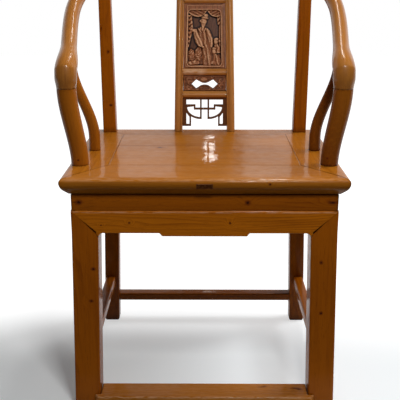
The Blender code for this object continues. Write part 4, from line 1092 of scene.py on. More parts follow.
@dataclass
class Legs(SubAssembly):
    """Front legs with mitred shoulders, and back legs that run on as posts up to the rail."""

    rail: "HorseshoeRail"
    ease: float = 0.0042
    foot_ease: float = 0.0015
    foot_rise: float = 0.003
    post: float = 0.032
    post_top: float = 0.028
    post_ease: float = 0.11
    flare: float = 0.003
    under_rail: float = 0.006
    core_drop: float = 0.004
    under_seat_shade: float = 0.26

    def foot_share(self, z: Array) -> Array:
        """Share of the foot's easing at a height: 1 on the floor, 0 over the eased stretch."""
        return np.maximum(1 - z / self.foot_rise, 0.0)

    @staticmethod
    def foot_grime(z: Array) -> Array:
        """Grime from the floor."""
        return fade(z, 0.012, 0.6)

    def front(self, side: Side) -> None:
        """Front leg: heights run up to the mitres, and a core goes on behind the aprons.

        A point of the section at (u inside the inner face, v in front of the back face) ends
        at apron foot + slope * min(u, v), which is a shoulder of two mitre planes.

        Args:
            side: Side of the chair.
        """
        size = self.sizes
        section = rounded_box((size.leg_inner, size.overhang), (size.ring_half, size.leg_back), self.ease, 8)
        inner = np.minimum(section[:, 0] - size.leg_inner, size.leg_back - section[:, 1])
        high = size.apron_bottom + size.mitre * np.maximum(inner, 0.0) - size.gap
        z = near_ends(size.apron_bottom, 8)[:, None] * high[None]
        middle = section.mean(axis=0)
        draw = 1 - self.foot_ease / size.front_leg * self.foot_share(z)
        x = side.value * (middle[0] + (section[None, :, 0] - middle[0]) * draw + size.lean(z))
        y = middle[1] + (section[None, :, 1] - middle[1]) * draw
        tone = fade(high[None] - z, 0.0014, 0.15) + self.foot_grime(z)
        peak = size.apron_bottom + size.mitre * size.front_leg / 2
        leg = Shell(spread(x, y, z), spread(z, x, y), tone,
                    apex=np.array([side.value * middle[0], middle[1], peak]))
        thick = size.apron_thickness + size.gap
        low = (size.leg_inner, size.overhang + thick)
        core = side.flip(rounded_box(low, (size.ring_half - thick, size.leg_back), 0.002))
        under = size.frame_bottom - size.gap
        stub = bar(core, size.apron_bottom - self.core_drop, under, near_ends(0.1, 2), Axis.UP)
        self.dress(Look.LEG, f"{side.word}_front_leg", f"front_leg_{side.word}", leg, Shell(*stub))

    def back(self, side: Side, top: Array) -> None:
        """Back leg and post in one: level rings whose size steps at the seat.

        Above the seat the middle runs back by the square of the height's share, up to the rail.

        Args:
            side: Side of the chair.
            top: Point of the rail's centre line over the post.
        """
        size = self.sizes
        seat = size.top
        under = size.frame_bottom - size.gap
        leg_z = np.array([0.0, 0.0015, 0.003, 0.008, 0.02, 0.1, 0.2, 0.3, size.apron_bottom, under])
        rise = np.linspace(0, 1, 26)
        post_z = seat + size.gap + rise * (top[2] - self.under_rail - seat)
        z = np.concatenate([leg_z, [under, seat + size.gap], post_z])
        width = np.concatenate([np.full(len(leg_z), size.back_leg), [self.post_top] * 2,
                                between(self.post, self.post_top, rise)])
        width -= 2 * self.foot_ease * self.foot_share(z)
        share = np.concatenate([np.zeros(len(leg_z) + 2), rise])
        x = size.back_leg_x + size.lean(z) + self.flare * share
        y = between(size.back_leg_y, top[1], share ** 2)
        flat = rounded_box((-0.5, -0.5), (0.5, 0.5), self.post_ease, 7)[None] * width[:, None, None]
        rings = spread(x[:, None] + flat[..., 0], y[:, None] + flat[..., 1], z[:, None])
        grain = spread(z[:, None], flat[..., 0], flat[..., 1])
        above = np.where(z >= seat, z - seat, 1.0)
        # Below the seat the leg is darkened with painted shade.
        tone = fade(above, 0.0015, 0.7) + self.foot_grime(z) + np.where(z < seat, self.under_seat_shade, 0.0)
        shell = Shell(side.flip(rings), grain, tone[:, None])
        self.dress(Look.LEG, f"{side.word}_back_leg", f"back_leg_{side.word}", shell)

    def build(self) -> None:
        """All four legs."""
        for side in Side:
            self.front(side)
            self.back(side, self.rail.over(self.sizes.back_leg_x + self.flare))


@dataclass
class Stretchers(SubAssembly):
    """Footrest in front, side stretchers and back stretcher."""

    rest_top: float = 0.034
    rest_depth: float = 0.043
    # Negative tones pale the footrest's upper edge: partly wear from feet, partly a painted highlight.
    rest_rim: Rim = (
        (-0.022, 0.003, 0.5), (-0.0214, 0.0012, 0.3), (-0.019, 0.0, 0.05), (-0.006, 0.0, 0.0),
        (-0.003, 0.0003, -0.25), (-0.0012, 0.001, -0.6), (-0.0002, 0.0022, -0.5), (0.0, 0.0036, -0.15),
        (0.0, 0.005, -0.1),
    )
    rest_grime: float = 0.6
    lip: float = 0.014
    ear: float = 0.013
    side_top: float = 0.126
    side_height: float = 0.022
    side_width: float = 0.024
    side_length: float = 0.36
    side_inset: float = 0.003
    back_top: float = 0.075
    back_height: float = 0.019
    back_depth: float = 0.031
    under_seat_shade: float = 0.5

    def footrest(self) -> None:
        """Footrest: a plan with curved ears, drawn in at the lip's upper and lower edges."""
        size = self.sizes
        inner = size.leg_inner + size.lean(self.rest_top) - 2 * size.gap
        face = size.overhang - size.gap
        front = size.overhang - self.lip
        half = [(inner, size.overhang + self.rest_depth), (inner, face), (inner + self.ear, face - 0.0002),
                (inner + self.ear * 0.35, front)]
        reach = [(0.001, 0.001), (0.0004, 0.0004), (0.001, 0.004), (0.006, 0.004)]
        corners = half + [(-x, y) for x, y in reversed(half)]
        rings, tone = slab(corners, reach + [pair[::-1] for pair in reversed(reach)], self.rest_rim,
                           self.rest_top, 7)
        at_leg = (np.abs(rings[..., 0]) > inner - 0.003) & (rings[..., 1] > face - 0.001)
        shell = Shell(rings, rings, np.where(at_leg, self.rest_grime, tone))
        self.dress(Look.STEP, "footrest_board", "footrest", shell)

    def sides(self) -> None:
        """Side stretchers with softly crowned tops."""
        size = self.sizes
        outer = size.back_leg_x + size.back_leg / 2 + size.lean(self.side_top) - self.side_inset
        low = (outer - self.side_width, self.side_top - self.side_height)
        section = rounded(box_corners(low, (outer, self.side_top)), [0.003, 0.003, 0.005, 0.005], 7)
        stations = near_ends(self.side_length)
        start = size.leg_back + size.gap
        end = size.back_leg_y - size.back_leg / 2 - size.gap
        for side in Side:
            rings = bar(side.flip(section), start, end, stations, Axis.BACK)
            shell = Shell(*rings, joint_grime(stations, self.side_length))
            self.dress(Look.LEG, f"{side.word}_side_bar", f"side_stretcher_{side.word}", shell)

    def build(self) -> None:
        """Footrest, side stretchers and the back stretcher, darkened with painted shade under the seat."""
        self.footrest()
        self.sides()
        size = self.sizes
        low = (size.back_leg_y - self.back_depth / 2, self.back_top - self.back_height)
        section = rounded_box(low, (low[0] + self.back_depth, self.back_top), 0.004, 7)
        reach = size.back_reach + size.lean(self.back_top)
        stations = near_ends(2 * reach)
        # The back stretcher is darkened with painted shade under the seat.
        tone = np.maximum(joint_grime(stations, 2 * reach), self.under_seat_shade)
        shell = Shell(*bar(section, -reach, reach, stations, Axis.ACROSS), tone)
        self.dress(Look.LEG, "back_bar", "back_stretcher", shell)


@dataclass
class Sweep:
    """Rings of a round bar: their centres and their upward and sideways half axes, each (rings, 3)."""

    centres: Array
    ups: Array
    sides: Array

    def parts(self, change: Callable[[Array], Array]) -> "Sweep":
        """Sweep with the same change made to its centres and its axes."""
        return Sweep(change(self.centres), change(self.ups), change(self.sides))

    def then(self, other: "Sweep") -> "Sweep":
        """Sweep that runs on into another one."""
        return Sweep(np.concatenate([self.centres, other.centres]), np.concatenate([self.ups, other.ups]),
                     np.concatenate([self.sides, other.sides]))


@dataclass
class HorseshoeRail(SubAssembly):
    """Crest and arms on one sweeping centre line, scarfed behind the back posts."""

    arm_height: float = 0.192
    crest_height: float = 0.446
    sag: float = 0.14
    front_inset: float = 0.00425
    spread: float = 0.01
    bend: float = 0.251
    crest_overhang: float = 0.082
    arm_diameter: float = 0.033
    crest_diameter: float = 0.036
    elbow_diameter: float = 0.0445
    elbow_inner: float = 0.004
    elbow_square: float = 0.35
    elbow_length: float = 0.036
    elbow_flare: float = 0.08
    elbow_darkening: float = 0.3
    foot_diameter: float = 0.0395
    scarf_reach: float = 0.345
    scarf_length: float = 0.06
    points: int = 64
    lap_rings: int = 20

    def __post_init__(self) -> None:
        """Places that follow from the seat's size, and the hub that the elbow turns round."""
        size = self.sizes
        self.crest_y = size.depth + self.crest_overhang
        self.bend_start = self.crest_y - self.bend
        self.half_front = size.half - self.front_inset
        self.half_middle = size.half + self.spread
        step = 0.02
        self.tilt = math.atan((self.height(size.elbow_y + step) - self.height(size.elbow_y)) / step)
        radius = self.elbow_inner + self.elbow_diameter / 2
        reach = radius * math.tan((QUARTER_TURN - self.tilt) / 2)
        self.arm_end = size.elbow_y + reach * math.cos(self.tilt)
        self.hub = np.array([self.arm_x(self.arm_end), size.elbow_y + radius,
                             size.top + self.arm_height - reach])

    def height(self, y: Real) -> Array:
        """Height of the centre line: from the elbow it climbs as (1-sag) t + sag t^2."""
        t = (y - self.sizes.elbow_y) / (self.crest_y - self.sizes.elbow_y)
        climb = (1 - self.sag) * t + self.sag * t * t
        return self.sizes.top + between(self.arm_height, self.crest_height, climb)

    def over(self, x: float) -> Array:
        """Point of the centre line on the bend, an ellipse, over a place x."""
        y = self.crest_y - self.bend * (1 - math.sqrt(1 - (x / self.half_middle) ** 2))
        return np.array([x, y, self.height(y)])

    def arm_x(self, y: Real) -> Array:
        """Half span of the arms, which spread by a smooth step towards the back."""
        t = (y - self.sizes.elbow_y) / (self.bend_start - self.sizes.elbow_y)
        return between(self.half_front, self.half_middle, smooth_step(t))

    def long_part(self) -> Sweep:
        """Right half from the middle of the crest to the elbow.

        The bend is (a sin t, c + b cos t), the arm follows arm_x, and both follow the height.

        Returns:
            The sweep.
        """
        turn = np.linspace(0, QUARTER_TURN, 150)
        bend = spread(self.half_middle * np.sin(turn), self.bend_start + self.bend * np.cos(turn))
        arm_y = np.linspace(self.bend_start, self.arm_end, 90)[1:]
        flat = np.concatenate([bend, spread(self.arm_x(arm_y), arm_y)])
        line = np.concatenate([flat, self.height(flat[:, 1:])], axis=1)
        run = run_length(line)
        tangent = unit(np.gradient(line, axis=0))
        tangent[0] = (1, 0, 0)
        up = unit(np.array([0.0, 0, 1.0]) - tangent * tangent[:, 2:])
        quarter = math.pi / 4 * (self.bend + self.half_middle)
        flare = smooth_step((run - run[-1] + self.elbow_flare) / self.elbow_flare)
        diameter = np.interp(run, [0.0, quarter], [self.crest_diameter, self.arm_diameter])
        diameter = diameter + (self.elbow_diameter - self.arm_diameter) * flare ** 1.3
        radius = diameter[:, None] / 2
        return Sweep(line, up * radius, np.cross(tangent, up) * radius)

    def knee(self) -> Sweep:
        """Elbow's turn round its hub.

        Its inner side keeps a small radius, and its outer side reaches towards the corner of
        the two straight stretches, radius / cos(angle from the nearer stretch).

        Returns:
            The sweep.
        """
        alpha = np.linspace(0, QUARTER_TURN - self.tilt, 26)[1:]
        aim = QUARTER_TURN + self.tilt + alpha
        ray = spread(0.0, np.cos(aim), np.sin(aim))
        corner = 1 / np.cos(np.minimum(alpha, alpha[-1] - alpha))
        outer = (self.elbow_inner + self.elbow_diameter) * (1 + self.elbow_square * (corner - 1))
        sideways = np.array([-self.elbow_diameter / 2, 0, 0])
        return Sweep(self.hub + ray * ((outer + self.elbow_inner) / 2)[:, None],
                     ray * ((outer - self.elbow_inner) / 2)[:, None], np.broadcast_to(sideways, ray.shape))

    def foot(self) -> Sweep:
        """Elbow's straight foot, which narrows by a smooth step to the post and has an eased end.

        Returns:
            The sweep.
        """
        end = self.sizes.top + self.arm_height - self.elbow_length
        z = np.concatenate([np.linspace(self.hub[2], end + 0.0008, 9)[1:], [end]])
        share = smooth_step((self.hub[2] - z) / (self.hub[2] - end))
        wide = between(self.elbow_diameter, self.foot_diameter, share) / 2
        wide[-1] -= 0.0005
        centres = spread(self.hub[0], self.sizes.elbow_y, z)
        return Sweep(centres, spread(0.0, -wide, 0.0), spread(-wide, 0.0, 0.0))

    def shell(self, sweep: Sweep, run: Array, lap: Array, upper: bool) -> Shell:
        """Round sections on the swept axes; on a lap only the upper or lower half is kept.

        Args:
            sweep: Centres and axes of the rings.
            run: Length along the rail at each ring.
            lap: Rings that lie on a scarf's lap.
            upper: Keep the upper half there, or else the lower one.
        Returns:
            The shell, with grime along the edges of its laps.
        """
        v, w = circle(self.points).T
        clamped = np.maximum(v, 0.012) if upper else np.minimum(v, -0.012)
        v = np.where(lap[:, None], clamped, v)
        rings = sweep.centres[:, None] + v[..., None] * sweep.ups[:, None]
        rings = rings + w[:, None] * sweep.sides[:, None]
        radius = np.linalg.norm(sweep.sides, axis=1)[:, None]
        grain = spread(run[:, None], v * radius, w * radius)
        return Shell(rings, grain, np.where(np.abs(v) < 0.05, 0.5, 0.0) * lap[:, None])

    def build(self) -> None:
        """Crest with two lower laps, and two arms with upper laps."""
        sweep = self.long_part().then(self.knee()).then(self.foot())
        run = run_length(sweep.centres)
        near = self.scarf_reach - self.scarf_length / 2
        far = self.scarf_reach + self.scarf_length / 2
        scarf = np.linspace(near, far, self.lap_rings)
        crest_rings = 90
        half = np.concatenate([np.linspace(0, near, crest_rings), scarf])
        on_lap = np.arange(len(half)) >= crest_rings
        right = sweep.parts(lambda part: self.sampled(half, run, part))
        whole = right.parts(lambda part: Side.LEFT.flip(part[:0:-1])).then(right)
        along = np.concatenate([-half[:0:-1], half])
        crest = self.shell(whole, along, np.concatenate([on_lap[:0:-1], on_lap]), False)
        self.dress(Look.RAIL, "sweeping_crest", "crest_rail", crest)
        keep = run > far
        start = np.append(scarf, far)
        along = np.concatenate([start, run[keep]])
        on_lap = np.arange(len(along)) < self.lap_rings
        arm = sweep.parts(lambda part: np.concatenate([self.sampled(start, run, part), part[keep]]))
        below = along[-1] - along
        # Grime at the joint with the post, and the elbow's lower part darkened.
        handled = fade(below, 0.0014, 0.45) + self.elbow_darkening * smooth_step(1.6 - below / 0.03)
        for side in Side:
            shell = self.shell(arm.parts(side.flip), along, on_lap, True)
            shell.tone = shell.tone + handled[:, None]
            self.dress(Look.RAIL, f"{side.word}_sweeping_arm", f"arm_rail_{side.word}", shell)

    @staticmethod
    def sampled(stations: Array, run: Array, part: Array) -> Array:
        """Points of a swept line at lengths along it."""
        return spread(*(np.interp(stations, run, column) for column in part.T))


@dataclass
class ArmPosts(SubAssembly):
    """S-curved posts under the elbows and under the middle of the arms."""

    rail: HorseshoeRail
    front_diameter: float = 0.036
    front_inset: float = 0.0245
    side_diameter: float = 0.0255
    side_top_diameter: float = 0.02
    side_y: float = 0.243
    side_inset: float = 0.0365
    side_under: float = 0.008
    swing: float = 1.6
    swing_start: float = 0.2
    eased: float = 0.001
    right_painted_shade: float = 0.62
    points: int = 48

    def post(self, name: str, node: str, line: Array, diameter: Array, side: Side, top_joint: bool) -> None:
        """Round section carried square to the post's own line, level at its foot.

        Args:
            name: Name of the piece.
            node: Node that it stands for.
            line: Centre line of the right-hand post.
            diameter: Diameter along it.
            side: Side of the chair.
            top_joint: The top is a joint that shows.
        """
        around = circle(self.points)
        tangent = unit(np.gradient(line, axis=0))
        tangent[0] = (0, 0, 1)
        back = np.array([0.0, 1.0, 0.0])
        across = unit(np.cross(back, tangent))
        flat = diameter[:, None, None] / 2 * around[None]
        rings = side.flip(line[:, None] + flat[..., :1] * across[:, None] + flat[..., 1:] * back)
        run = run_length(line)
        tone = fade(run, 0.0016, 0.8)
        if top_joint:
            tone = tone + fade(run[-1] - run, 0.0012, 0.45)
        # The right-hand posts get painted shade, heaviest at the foot and fading upwards.
        if side is Side.RIGHT:
            tone = tone + self.right_painted_shade * (1 - 0.7 * run / run[-1])
        grain = spread(run[:, None], flat[..., 0], flat[..., 1])
        self.dress(Look.POST, name, node, Shell(rings, grain, tone[:, None]))

    def build(self) -> None:
        """Both pairs of posts."""
        size = self.sizes
        rail = self.rail
        seat = size.top + size.gap
        t = np.concatenate([[0, 0.003, 0.01], np.linspace(0.03, 0.97, 30), [0.99, 0.997, 1.0]])
        s_curve = smooth_step(t)
        high = size.top + rail.arm_height - rail.elbow_length - size.gap
        front_x = between(size.half - self.front_inset, rail.half_front, s_curve)
        front = spread(front_x, size.elbow_y, between(seat, high, t))
        front_size = between(self.front_diameter, rail.foot_diameter, s_curve)
        front_size[[0, -1]] -= self.eased
        high = rail.height(self.side_y) - self.side_under
        s_curve = smooth_step(self.swing * t - self.swing_start)
        slim_x = between(size.half - self.side_inset, rail.arm_x(self.side_y), s_curve)
        slim = spread(slim_x, self.side_y, between(seat, high, t))
        slim_size = between(self.side_diameter, self.side_top_diameter, t)
        slim_size[0] -= self.eased
        for side in Side:
            word = side.word
            self.post(f"{word}_elbow_post", f"front_arm_post_{word}", front, front_size, side, True)
            self.post(f"{word}_slim_post", f"side_arm_post_{word}", slim, slim_size, side, False)


@dataclass
class SplatFrame(SubAssembly):
    """Stiles and rails of the curved splat."""

    rail: HorseshoeRail
    setback: float = 0.453
    width: float = 0.15
    top_width: float = 0.135
    stile: float = 0.02
    stile_rows: tuple[Corner, ...] = (
        ((-0.02, 0.011), 0.001), ((-0.02, -0.007), 0.002), ((-0.0178, -0.0108), 0.0014),
        ((-0.015, -0.0085), 0.001), ((-0.0085, -0.014), 0.0055), ((0.0, -0.0078), 0.004),
        ((0.0, 0.011), 0.001),
    )
    quirk: float = -0.015
    straightness: float = 0.25
    lower: float = 0.081
    middle: float = 0.134
    upper: float = 0.304
    rail_height: float = 0.017
    rail_nose: float = 0.0142
    rail_cheek: float = 0.0065
    rail_rear: float = 0.009
    rail_lap: float = 0.0042
    end_round: float = 0.0045
    wear: float = 0.75

    def __post_init__(self) -> None:
        """Take the splat's top from the rail over it."""
        _, self.top_y, over = self.rail.over(self.top_width / 2 - self.stile / 2).tolist()
        self.top_z = over - self.sizes.top

    def y(self, z: Real) -> Array:
        """Middle of the thickness at a height over the seat: a straight lean and a smooth step mixed."""
        t = z / self.top_z
        return between(self.setback, self.top_y, between(smooth_step(t), t, self.straightness))

    def half(self, z: Real) -> Array:
        """Half of the outer width at a height over the seat."""
        return between(self.width, self.top_width, z / self.top_z) / 2

    def inner(self, z: Real) -> Array:
        """Half of the width between the stiles."""
        return self.half(z) - self.stile

    def stiles(self) -> None:
        """Stiles with crowned fronts, darker in the quirk beside the crown."""
        size = self.sizes
        section = profile(self.stile_rows, 7)
        z = np.concatenate([[0.0, 0.0006, 0.002], np.linspace(0.006, self.top_z - 0.006, 60)])
        right = self.half(z)[:, None] + section[:, 0]
        y = self.y(z)[:, None] + section[:, 1]
        height = size.top + size.gap + z[:, None]
        quirk = hump(section[:, 0] - self.quirk, 0.001) * (section[:, 1] < 0)
        tone = fade(z, 0.0016, 0.8)[:, None] + 0.35 * quirk
        for side in Side:
            x = side.value * right
            shell = Shell(spread(x, y, height), spread(height, x, section[:, 1]), tone)
            self.dress(Look.SPLAT, f"{side.word}_splat_stile", f"splat_stile_{side.word}", shell)

    def rails(self) -> None:
        """Rails with half-round fronts that lap the stiles; the middle one is rubbed on its left."""
        half = self.rail_height / 2
        depth, rise = profile((
            ((self.rail_rear, -half), 0.001), ((-self.rail_cheek, -half), 0.003),
            ((-self.rail_nose, 0.0), 0.006), ((-self.rail_cheek, half), 0.003),
            ((self.rail_rear, half), 0.001),
        ), 7).T
        for word, low in (("lower", self.lower), ("middle", self.middle), ("upper", self.upper)):
            middle = low + half
            reach = self.inner(middle) + self.rail_lap
            across = spread(self.y(middle + rise) + depth, self.sizes.top + middle + rise)
            end = reach - self.end_round * np.clip(-depth / self.rail_nose, 0, 1) ** 2
            stations = near_ends(2 * reach, 6)
            rings, grain = bar(across, -end, end, stations, Axis.ACROSS)
            tone = joint_grime(stations, 2 * reach) + fade(half - np.abs(rise), 0.0012, 0.4)
            if word == "middle":
                rubbed = smooth_step((0.012 - rings[..., 0]) / 0.02) * smooth_step((-0.004 - depth) / 0.004)
                tone = tone - self.wear * rubbed
            self.dress(Look.SPLAT, f"{word}_splat_rail", f"splat_rail_{word}", Shell(rings, grain, tone))

    def build(self) -> None:
        """Stiles, then rails from the seat up."""
        self.stiles()
        self.rails()


@dataclass(frozen=True)
class Form:
    """One rounded form of the carving, in millimetres from the panel's middle."""

    x: float
    z: float
    wide: float
    tall: float
    rise: float
    turn: float = 0.0

    def height(self, x: Array, z: Array) -> Array:
        """Half ellipsoid, rise * (1 - r^2)^0.45.

        Args:
            x: Places across, in millimetres.
            z: Places up, in millimetres.
        Returns:
            Height over the sunk ground, negative outside the form.
        """
        c = math.cos(self.turn)
        s = math.sin(self.turn)
        u = ((x - self.x) * c + (z - self.z) * s) / self.wide
        v = ((z - self.z) * c - (x - self.x) * s) / self.tall
        r = u * u + v * v
        return np.where(r < 1, self.rise * np.maximum(1 - r, 0.0) ** 0.45, -1.0)


@dataclass(frozen=True)
class Drape:
    """Hanging cloth of the carving: a rounded column of changing width, scored by folds."""

    levels: tuple[float, ...]
    middle: tuple[float, ...]
    half: tuple[float, ...]
    rise: float
    folds: float
    deep: float

    def height(self, x: Array, z: Array) -> Array:
        """Column rise * (1 - |u|^2.4)^0.6 over the share u of its half width, with waves over u.

        Args:
            x: Places across, in millimetres.
            z: Places up, in millimetres.
        Returns:
            Height over the sunk ground, negative outside the cloth.
        """
        u = (x - np.interp(z, self.levels, self.middle)) / np.interp(z, self.levels, self.half)
        dome = np.maximum(1 - np.abs(u) ** 2.4, 0.0)
        wave = np.sin(self.folds * u + 1.1 * np.sin(0.12 * z + self.folds) + 0.4 * np.sin(0.31 * z))
        made = self.rise * dome ** 0.6 + self.deep * wave * dome ** 0.3
        inside = (np.abs(u) < 1) & (z > self.levels[0]) & (z < self.levels[-1])
        return np.where(inside, made, -1.0)


@dataclass
class SplatPanels(SubAssembly):
    """Carved, pierced and plain panels between the stiles.

    In their reliefs x runs across, z runs up and all heights are in millimetres.
    """

    frame: SplatFrame
    face: float = 0.0062
    rear: float = 0.0055
    relief_sharp: float = 60.0
    pierced_sharp: float = 50.0
    carved_grid: tuple[int, int] = (300, 210)
    plain_grid: tuple[int, int] = (90, 90)
    ground: float = 6.8
    window_lift: float = 3.2
    window_middle: Pair = (-0.8, -1.0)
    window_half: Pair = (42.6, 66.0)
    window_taper: float = 0.022
    window_corner: float = 9.0
    swag_middle: float = 6.0
    pierced_sink: float = 0.001
    opening_side: float = -0.0022
    opening: tuple[Pair, ...] = (
        (0.0, 0.0004), (0.005, 0.001), (0.01, 0.003), (0.0208, 0.0088), (0.0268, 0.0033),
        (0.0328, -0.0022), (0.0268, -0.0077), (0.0208, -0.0132), (0.01, -0.0062), (0.005, -0.0048),
        (0.0, -0.0044),
    )
    spirals: tuple[Triple, ...] = (
        (-40, 7, 1), (-40, -8, -1), (40, 7, -1), (40, -8, 1), (-16, -13.5, 1), (16, -13.5, -1),
        (-21, 14.5, -1), (20, 14.5, 1), (-36, 0, 1), (36, 0, -1),
    )
    rocks: tuple[Form, ...] = (
        Form(-31.5, -47, 11.5, 20, 5.6, 0.2), Form(-16, -43, 10.5, 22, 6.2, -0.16),
        Form(-25, -60, 15, 8, 6.8, 0.1), Form(-36, -61, 7, 6.5, 7.2),
        Form(18, -60, 12, 8, 6.6, -0.15),
    )
    robes: tuple[Drape, ...] = (
        Drape((-67, -44, -24, -8, 8, 17, 23.5), (10, 7, 4, -1, -5, -7, -6),
              (20, 17, 14, 16.5, 17.5, 14.5, 6), 6.4, 10, 0.75),
        Drape((-22, -19, -12, -2, 8, 15, 19.5), (-9.5, -10, -12.5, -16, -20, -23, -23),
              (5, 9, 11.5, 10.5, 8, 6, 3), 8.4, 7, 0.75),
        Drape((-24, -16, -4, 8, 16, 20.5), (16, 15.5, 13.5, 9.5, 6.5, 4),
              (3, 6.5, 7.2, 6.6, 5.5, 3), 7.8, 5.5, 0.6),
        Drape((15, 22, 30.5), (-6.2, -4.8, -3.2), (1.2, 4, 6.2), 8, 8, 0.45),
        Drape((-37, -24, -16), (32, 31, 28.5), (9, 9.5, 4), 6, 6, 0.6),
        Drape((-67, -52, -39), (33, 30.5, 25), (12, 12, 5), 6.4, 8, 0.65),
    )
    forms: tuple[Form, ...] = (
        Form(-25.5, 15, 9, 4.4, 8.6, -0.28), Form(-33, 18.6, 4.4, 3.2, 7.6, 0.7),
        Form(-11.5, 15, 2, 9, 8.6, 0.66), Form(-1, 15.5, 2, 8.5, 8.6, -0.56),
        Form(8.5, -46, 3, 19, 8.3, 0.1), Form(-4, -22.5, 5, 3, 8.6, -0.25),
        Form(-2.8, 37.5, 7.6, 10, 9, -0.16), Form(-10.6, 38.6, 2.2, 3.2, 6.8),
        Form(-4, 36.2, 1.3, 2.8, 10, -0.16), Form(0.4, 46.2, 9.2, 3.6, 9.2, -0.22),
        Form(2.2, 50.6, 6.4, 5.2, 8.2, -0.2), Form(27.5, -10.5, 6.2, 7.4, 8.2),
        Form(28, -4.8, 6.4, 3.4, 8, 0.15), Form(36.2, -9, 3.6, 4.4, 6.6),
        Form(23, -33, 6.6, 7.8, 8.6, 0.1), Form(23.8, -26.8, 6.4, 3.4, 8.2, -0.1),
    )
    face_lines: tuple[tuple[float, ...], ...] = (
        (-6.2, 38.4, 1.7, 0.9, 0.9), (-0.4, 39.4, 1.7, 0.9, 0.9), (-4.2, 32.2, 2.3, 0.6, 0.6),
    )

    @staticmethod
    def chips(x: Array, z: Array) -> Array:
        """Uneven tool marks between -1 and 1: waves in two directions, bent by slower ones."""
        bend = 1.7 * np.sin(0.31 * x - 0.47 * z) + 1.3 * np.sin(0.53 * x + 0.29 * z + 1.0)
        return 0.5 * np.sin(0.8 * x + 0.3 * z + bend) + 0.5 * np.sin(1.3 * z - 0.5 * x + 1.4 * bend + 0.8)

    def window_edge(self, x: Array, z: Array) -> Array:
        """Distance outside the carved window, which tapers upwards and has round corners.

        Args:
            x: Places across.
            z: Places up.
        Returns:
            Distance in millimetres, negative inside.
        """
        across = np.abs(x - self.window_middle[0])
        up = np.abs(z - self.window_middle[1])
        half_x, half_z = self.window_half
        half_x = half_x - self.window_taper * (z + 64)
        round_x = across - half_x + self.window_corner
        round_z = up - half_z + self.window_corner
        corner = np.hypot(np.maximum(round_x, 0), np.maximum(round_z, 0)) - self.window_corner
        return np.where((round_x > 0) & (round_z > 0), corner, np.maximum(across - half_x, up - half_z))

    def figures(self, x: Array, z: Array) -> Array:
        """Rocks, robes and heads: the highest form counts, and the face's lines are cut into it.

        Args:
            x: Places across.
            z: Places up.
        Returns:
            Height over the sunk ground.
        """
        rock = np.max([form.height(x, z) for form in self.rocks], axis=0)
        rise = np.maximum(3.4 * smooth_step((-30 - z) / 16), rock + 0.9 * self.chips(0.6 * x, 0.6 * z))
        rise = np.max([rise] + [form.height(x, z) for form in self.robes + self.forms], axis=0)
        for line_x, line_z, wide, tall, deep in self.face_lines:
            rise = rise - deep * hump(x - line_x, wide) * hump(z - line_z, tall)
        return rise

    def canopy(self, x: Array, z: Array) -> Array:
        """Draped cloth over the figure, its two hanging ends and the slim post on the right.

        Args:
            x: Places across.
            z: Places up.
        Returns:
            Height over the sunk ground.
        """
        aside = x - self.swag_middle
        swag = 57.0 - 10.0 * np.abs(np.sin(aside * math.pi / 46.0)) ** 0.8 + 5.5 * hump(aside, 6.0)
        folds = 5.2 + 1.3 * hump(z - swag - 2.2, 1.3) + 0.6 * np.sin((z - 0.5 * np.abs(aside)) * 0.9)
        cloth = smooth_step((z - swag) / 1.6) * folds
        ruffle = 4.8 + 1.1 * np.sin(z * 0.62 + 1.6 * np.sin(x * 0.45))
        levels = (-24, 0, 20, 52)
        hang_x = np.interp(z, levels, (-41.0, -38.5, -35.0, -37.0))
        hang_half = np.interp(z, levels, (2.5, 5.5, 7.0, 6.5))
        hang = np.where(np.abs(z - 14) < 38, smooth_step((hang_half - np.abs(x - hang_x)) / 2.2), 0.0)
        tie_x = 34.5 - 0.1 * (z - 42)
        tie = np.where(np.abs(z - 42) < 12, smooth_step((5.0 - np.abs(x - tie_x)) / 2.0), 0.0)
        post = np.where((z < 33) & (z > -24), smooth_step((3.4 - np.abs(x - 37.4)) / 2.2), 0.0)
        return np.max([cloth - 0.2, hang * ruffle, tie * ruffle, post * 4.2], axis=0)

    def carving(self, x: Array, z: Array) -> tuple[Array, Array]:
        """Relief of the carved panel: a sunk window with a robed figure under a draped canopy.

        The ground is sunk by a smooth step inside the window's outline, and every form
        stands on it by its own height; the highest one counts at each place.

        Args:
            x: Places across, in millimetres from the middle.
            z: Places up, in millimetres from the middle.
        Returns:
            Height over the border in metres, and the tone.
        """
        level = z + self.window_lift
        edge = self.window_edge(x, level)
        sunk = smooth_step(-edge / 1.3)
        rise = np.maximum(self.figures(x, level), self.canopy(x, level))
        rise = rise + 0.32 * self.chips(x, level) * smooth_step(rise / 2.0)
        height = (np.maximum(rise, 0.0) - self.ground) * sunk + 1.2 * hump(edge - 1.3, 1.0)
        outer = 49.5 - 0.03 * (level + 70)
        bead = np.maximum(np.abs(x) - outer + 2.6, np.abs(z) - 72.0)
        height = height + hump(bead, 0.9) - 0.9 * smooth_step(bead / 1.4)
        return height / 1000, self.patina_and_painted_light(height, sunk)

